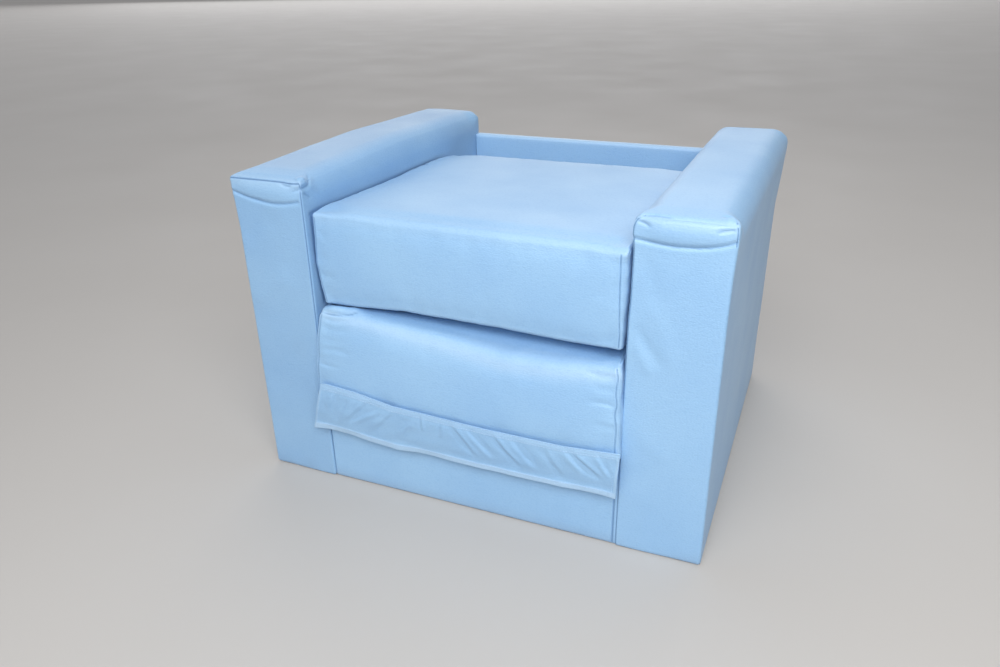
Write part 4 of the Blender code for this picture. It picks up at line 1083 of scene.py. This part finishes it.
def makeFlap():
    columns, rows = 300, 64
    across, down = (g.ravel() for g in np.meshgrid(np.linspace(0, 1, columns), np.linspace(0, 1, rows), indexing="ij"))
    outer = flapPlace(across, down)
    # The profile's corners are eased along the hanging direction
    sheet = outer[:, 1].reshape(columns, rows)
    for _ in range(6):
        sheet[:, 1:-1] = (sheet[:, :-2] + 2 * sheet[:, 1:-1] + sheet[:, 2:]) / 4
    outer[:, 1] = sheet.ravel()
    x, z = outer[:, 0], outer[:, 2]
    flat = np.stack((x, np.zeros(len(x)), z), 1)
    fromTop = down * 0.066
    fromBottom, fromEnds = (1 - down) * 0.066, np.minimum(across, 1 - across) * 0.41
    hem = 1 - smoothStep(fromBottom, flap["hem"] - 0.0010, flap["hem"])
    sideHem = 1 - smoothStep(fromEnds, flap["sideHem"] - 0.0008, flap["sideHem"])
    topHem = 1 - smoothStep(fromTop, flap["topHem"] - 0.0010, flap["topHem"])
    ahead = flap["hemRise"] * np.maximum(np.maximum(hem, sideHem), topHem)
    for level in (0.035, 0.115):        # each row of stitching pulls the top hem in
        ahead -= 0.0004 * bell((down - level) * 0.066, 0.0009)
    for upper, lower, width, tall in flap["wrinkles"]:
        start, run = np.array(upper), np.array(lower) - np.array(upper)
        long = np.linalg.norm(run)
        off = np.stack((x, z), 1) - start
        where = (off @ run) / long ** 2
        side = (off[:, 0] * run[1] - off[:, 1] * run[0]) / long / (flap["wrinkleWidth"] * width)
        along = smoothStep(where, -0.15, 0.3) * smoothStep(1 - where, -0.15, 0.3)
        ahead += flap["wrinkleGain"] * tall * side * np.exp(-side ** 2) * along
    ahead += 0.0006 * (1 + softNoise(flat, (0.022, 1, 0.016), 83)) * smoothStep(fromTop, 0.004, 0.014)
    ahead += flap["curl"] * smoothStep(x, 0.170, 0.200) ** 2 * smoothStep(down, 0.15, 0.8)
    ahead += 0.0012 * smoothStep(down, 0.75, 1.0) * (1 + softNoise(flat, (0.045, 1, 1), 84))
    outer[:, 1] -= np.maximum(ahead, 0)
    inner = outer + (0, flap["thick"], 0)
    index = np.arange(columns * rows).reshape(columns, rows)
    count = columns * rows
    cells = np.stack((index[:-1, :-1], index[:-1, 1:], index[1:, 1:], index[1:, :-1]), -1).reshape(-1, 4)
    rims = []
    for line in (index[:, 0], index[-1, :], index[::-1, -1], index[0, ::-1]):
        rims.append(np.stack((line[:-1], line[1:], line[1:] + count, line[:-1] + count), 1))
    quads = np.concatenate([cells, cells[:, ::-1] + count] + rims)
    points = np.concatenate((outer, inner))
    wearAndHighlight = np.maximum(0.60 * hem, np.maximum(0.25 * sideHem, 0.22 * topHem))
    wearAndHighlight = np.concatenate((wearAndHighlight, np.zeros(count)))
    piece = makeMesh("hingeFlap", points, quads, finish["leather"], attributes={"wearAndHighlight": np.clip(wearAndHighlight, 0, 1)})
    bevel = piece.modifiers.new("edge", "BEVEL")
    bevel.width = 0.4 * mm
    bevel.segments = 2
    bevel.limit_method = "ANGLE"
    bevel.angle_limit = math.radians(50)
    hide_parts("hinge_flap")
    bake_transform(piece)
    return outer.reshape(columns, rows, 3)


flapFace = makeFlap()


def flapRow(share, start=0.02, end=0.98):       # a stitch row along the flap, at a share of the way down
    columns, rows = flapFace.shape[:2]
    line = flapFace[int(start * columns):int(end * columns), int(round(share * (rows - 1)))]
    return line - (0, 0.00015, 0)


def flapColumn(share, start):
    columns, rows = flapFace.shape[:2]
    return flapFace[int(round(share * (columns - 1))), int(start * rows):-2] - (0, 0.00015, 0)


sew("flapTopStitches", [flapRow(0.035), flapRow(0.115)], "lower_cushion")
sew("flapHemStitches", [flapRow(0.885), flapColumn(0.006, 0.5), flapColumn(0.985, 0.5)], "frame")
print("covers, flap and its stitches made")

# Zips, sliders and the rear strip


def tapeBox(name, low, high, material, spacing, rounding):      # a thin closed band with rounded edges
    low, high = np.array(low), np.array(high)
    centre, half = (low + high) / 2, (high - low) / 2
    lines = [gridLine([(-s, rounding / 2), (-s + min(s * 0.5, 2 * rounding), spacing), (s - min(s * 0.5, 2 * rounding), spacing),
                       (s, rounding / 2)]) for s in half]
    box, quads = boxGrid(lines)
    points = roundSwept(box, half, 0, np.full(len(box), rounding), rounding) + centre
    return makeMesh(name, points, quads, material), points


def zipTree():
    tree = bpy.data.node_groups.new("zip coil", "GeometryNodeTree")
    addSocket(tree, "Line", "NodeSocketGeometry")
    for name in ("Pitch", "Tooth Width", "Tooth Height", "Tooth Length"):
        addSocket(tree, name, "NodeSocketFloat")
    addSocket(tree, "Nylon", "NodeSocketMaterial")
    addSocket(tree, "Teeth", "NodeSocketGeometry", "OUTPUT")
    given = addNode(tree, "NodeGroupInput").outputs
    curve = addNode(tree, "GeometryNodeMeshToCurve", {"Mesh": given["Line"]}).outputs["Curve"]
    dots = addNode(tree, "GeometryNodeResampleCurve", {"Curve": curve, "Length": given["Pitch"]}, mode="LENGTH")
    tooth = addNode(tree, "GeometryNodeMeshCylinder", {"Vertices": 8, "Radius": 0.5, "Depth": 1.0}).outputs["Mesh"]
    size = addNode(tree, "ShaderNodeCombineXYZ", {"X": given["Tooth Width"], "Y": given["Tooth Height"], "Z": given["Tooth Length"]})
    laid = addNode(tree, "GeometryNodeInstanceOnPoints", {
        "Points": dots.outputs["Curve"], "Instance": tooth, "Scale": size.outputs["Vector"],
    }).outputs["Instances"]
    real = addNode(tree, "GeometryNodeRealizeInstances", {"Geometry": laid}).outputs["Geometry"]
    painted = addNode(tree, "GeometryNodeSetMaterial", {"Geometry": real, "Material": given["Nylon"]}).outputs["Geometry"]
    addNode(tree, "NodeGroupOutput", {"Teeth": painted})
    return tree


zipTeeth = zipTree()
coil = {"pitch": 2.2 * mm, "width": 1.3 * mm, "height": 1.4 * mm, "length": 5.0 * mm}


def makeZip(key):
    body, node = key + "_cushion", key + "_zip"
    low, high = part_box(node)
    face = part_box(key + "_cover")[1].y
    tape, _ = tapeBox(key + "Zip", (low.x, face - 1.4 * mm, low.z), (high.x, face - 0.3 * mm, high.z), finish["zipTape"], 0.004, 0.0004)
    dress(tape, body, "zip_tape", node)
    level = (low.z + high.z) / 2
    line = straight((low.x + 0.003, face - 0.1 * mm, level), (high.x - 0.003, face - 0.1 * mm, level))
    values = {"Pitch": coil["pitch"], "Tooth Width": coil["width"], "Tooth Height": coil["height"], "Tooth Length": coil["length"]}
    teeth = runTree(key + "ZipTeeth", lineMesh(key + "ZipLine", [line]), zipTeeth, {**values, "Nylon": finish["nylon"]})
    dress(teeth, body, "zip_tape")
    for way in (-1, 1):
        at = level + way * (zipPlace["halfTape"] - 0.0018)
        rows = [straight((low.x + 0.004, face - 0.25 * mm, at), (high.x - 0.004, face - 0.25 * mm, at))]
        sew(key + ("ZipStitchesUpper" if way > 0 else "ZipStitchesLower"), rows, body)


def makeStrip():
    low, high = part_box("rear_hinge_strip")
    strip, _ = tapeBox("rearHingeStrip", low, high, finish["webbing"], 0.004, 0.0005)
    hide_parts("rear_hinge_strip")
    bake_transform(strip)
    face = high.y - 0.05 * mm
    for key, body, levels in (("Lower", "lower_cushion", (low.z + 0.003, low.z + 0.010)),
                              ("Upper", "upper_cushion", (high.z - 0.003, high.z - 0.010))):
        rows = [straight((low.x + 0.004, face, z), (high.x - 0.004, face, z)) for z in levels]
        sew("rearStripStitches" + key, rows, body)


# Each slider: a tapered body over the coil, a bridge on it and a pull tab that lies along the zip
slider = {"taper": 0.30, "clear": 0.7 * mm, "deck": 1.5 * mm, "bridge": (4.4 * mm, 1.5 * mm), "post": 0.9 * mm,
          "tab": (15 * mm, 0.8 * mm, 4.6 * mm)}


def roundedBlock(low, high, rounding, spacing=0.0012):
    low, high = np.array(low), np.array(high)
    centre, half = (low + high) / 2, (high - low) / 2
    box, quads = boxGrid([gridLine([(-s, rounding / 2), (-s * 0.5, spacing), (s * 0.5, spacing), (s, rounding / 2)]) for s in half])
    return roundSwept(box, half, 1, np.full(len(box), rounding), rounding) + centre, quads


def makeSlider(key):
    node = key + "_zip_slider"
    low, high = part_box(node)
    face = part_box(key + "_cover")[1].y
    middle, level = (low.x + high.x) / 2, (low.z + high.z) / 2
    floor = face + slider["clear"]
    deck = floor + slider["deck"]
    long, wide = slider["bridge"]
    tabLong, tabThick, tabWide = slider["tab"]
    post = slider["post"]
    blocks = [roundedBlock((low.x, floor, low.z), (high.x, deck, high.z), 0.5 * mm)]
    shape = blocks[0][0]
    along = (shape[:, 0] - low.x) / (high.x - low.x)
    shape[:, 2] = level + (shape[:, 2] - level) * (1 - slider["taper"] * smoothStep(along, 0.35, 1.0))
    for x in (middle - long / 2, middle + long / 2 - post):
        blocks.append(roundedBlock((x, deck - 0.3 * mm, level - wide / 2), (x + post, deck + 1.7 * mm, level + wide / 2), 0.25 * mm, 0.0005))
    blocks.append(roundedBlock((middle - long / 2, deck + 1.2 * mm, level - wide / 2), (middle + long / 2, deck + 2.1 * mm, level + wide / 2),
                               0.3 * mm, 0.0006))
    start = middle - 0.8 * mm
    blocks.append(roundedBlock((start - tabLong, deck + 0.15 * mm, level - tabWide / 2), (start, deck + 0.15 * mm + tabThick, level + tabWide / 2),
                               0.35 * mm))
    points, quads, count = [], [], 0
    for block, faces in blocks:
        points.append(block)
        quads.append(faces + count)
        count += len(block)
    piece = makeMesh(key + "ZipSlider", np.concatenate(points), np.concatenate(quads), finish["zinc"])
    dress(piece, key + "_slider", "slider_metal", node)


for key in ("lower", "upper"):
    makeZip(key)
    makeSlider(key)
makeStrip()
print("zips and rear strip made")

# Foam cores, a little inside their covers

foams = {
    "armPadLeft": {"node": "arm_pad_l", "roll": 0.020, "inset": 3.0 * mm},
    "armPadRight": {"node": "arm_pad_r", "roll": 0.016, "inset": 3.0 * mm},
    "deckPad": {"node": "deck_pad", "roll": 0.003, "inset": 2.5 * mm},
}


def porous(points, quads):
    return points + pointNormals(points, quads) * (0.0004 * softNoise(points, (0.02, 0.02, 0.02), 91))[:, None]


def makeFoam(name, form):       # a pad whose upper edges are rounded off
    low, high = (np.array(corner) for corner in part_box(form["node"]))
    bottom = low[2]
    low, high = low + form["inset"], high - form["inset"]
    low[2] = bottom
    centre, half = (low + high) / 2, (high - low) / 2
    edge = min(0.003, half.min() / 3)
    lines = [gridLine([(-s, edge), (-s * 0.8, 0.010), (s * 0.8, 0.010), (s, edge)]) for s in half]
    box, quads = boxGrid(lines)
    points = roundSwept(box, half, 1, np.full(len(box), 0.0012), 0.0012) + centre
    fall = np.zeros(len(box))
    for axis in (0, 1):
        roll = form["roll"] if axis == 0 else form["roll"] * 0.4
        past = np.clip(np.abs(box[:, axis]) - (half[axis] - roll), 0, roll)
        fall += roll - np.sqrt(roll ** 2 - (past * 0.98) ** 2)
    deep = high[2] - low[2]
    points[:, 2] = low[2] + (points[:, 2] - low[2]) * (1 - np.minimum(fall, deep * 0.85) / deep)
    piece = makeMesh(name, porous(points, quads), quads, finish["foam"])
    dress(piece, "frame", "foam", form["node"])


def makeBlock(key):             # a cushion's block, shaped as its cover is
    form = dict(cushions[key])
    form.update({name: 0.020 for name in ("frontBottom", "rearTop", "rearBottom")})
    form["frontTop"] = ((0, 0.026),)
    form["leftRim"] = form["rightRim"] = ((0, 0.012),)
    form["topRim"] = 0.012
    low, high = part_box(form["node"])
    high.z -= form["crown"]
    centre, half = np.array((low + high) / 2), np.array((high - low) / 2)
    lines = [gridLine([(-s, 0.003), (-s + 0.015, 0.004), (-s + 0.04, 0.012), (s - 0.04, 0.012), (s - 0.015, 0.004), (s, 0.003)])
             for s in half]
    rest, points, quads = shapeCushion(form, centre, half, low, high, lines)
    points = points - pointNormals(points, quads) * 0.0055
    piece = makeMesh(key + "Foam", porous(points, quads), quads, finish["foam"])
    dress(piece, form["body"], "foam", form["foam"])


for name, form in foams.items():
    makeFoam(name, form)
for key in cushions:
    makeBlock(key)

# The dust cover underneath: nonwoven cloth, stapled to the boards


def makeDustCover():
    low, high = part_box("dust_cover")
    cover, points = tapeBox("dustCover", low, high, finish["nonwoven"], 0.008, 0.0003)
    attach(cover, "frame")
    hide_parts("dust_cover")
    inset = staples["inset"]
    left, right, front, rear = low.x + inset, high.x - inset, low.y + inset, high.y - inset
    below = low.z - staples["radius"] * 0.4
    corners = [(left, front, below), (right, front, below), (right, rear, below), (left, rear, below), (left, front, below)]
    rows = []
    for start, end in zip(corners, corners[1:]):
        start, end = np.array(start), np.array(end)
        step = (end - start) / np.linalg.norm(end - start) * staples["corner"]
        rows.append(straight(start + step, end - step))
    sew("dustCoverStaples", rows, "frame", "zinc_steel", **{key: staples[key] for key in ("pitch", "length", "radius", "made of")})


staples = {"inset": 7 * mm, "corner": 30 * mm, "pitch": 48 * mm, "length": 10 * mm, "radius": 0.5 * mm, "made of": "zinc"}
makeDustCover()

# Pieces that keep their CAD shape get the finish of their real material

finishes = {
    "plywood": ["_board_", "back_board", "base_front_board", "base_rear_board", "deck_board", "deck_cleat"],
    "beech": ["dowel"],
    "zinc": ["screw"],
    "hookAndLoop": ["hook_tape", "loop_tape"],
    "polythene": ["glide"],
}


def finishNodes():
    left = []
    for name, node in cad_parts.items():
        if node.hide_render:
            continue
        found = [key for key, words in finishes.items() if any(word in name for word in words)]
        if found:
            node.data.materials.clear()
            node.data.materials.append(finish[found[0]])
        else:
            left.append(name)
    print("nodes without a finish:", left)


finishNodes()

sizes = {"cadLow": list(cadLow), "cadHigh": list(cadHigh)}
sizes["sceneLow"], sizes["sceneHigh"] = (list(corner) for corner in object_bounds())
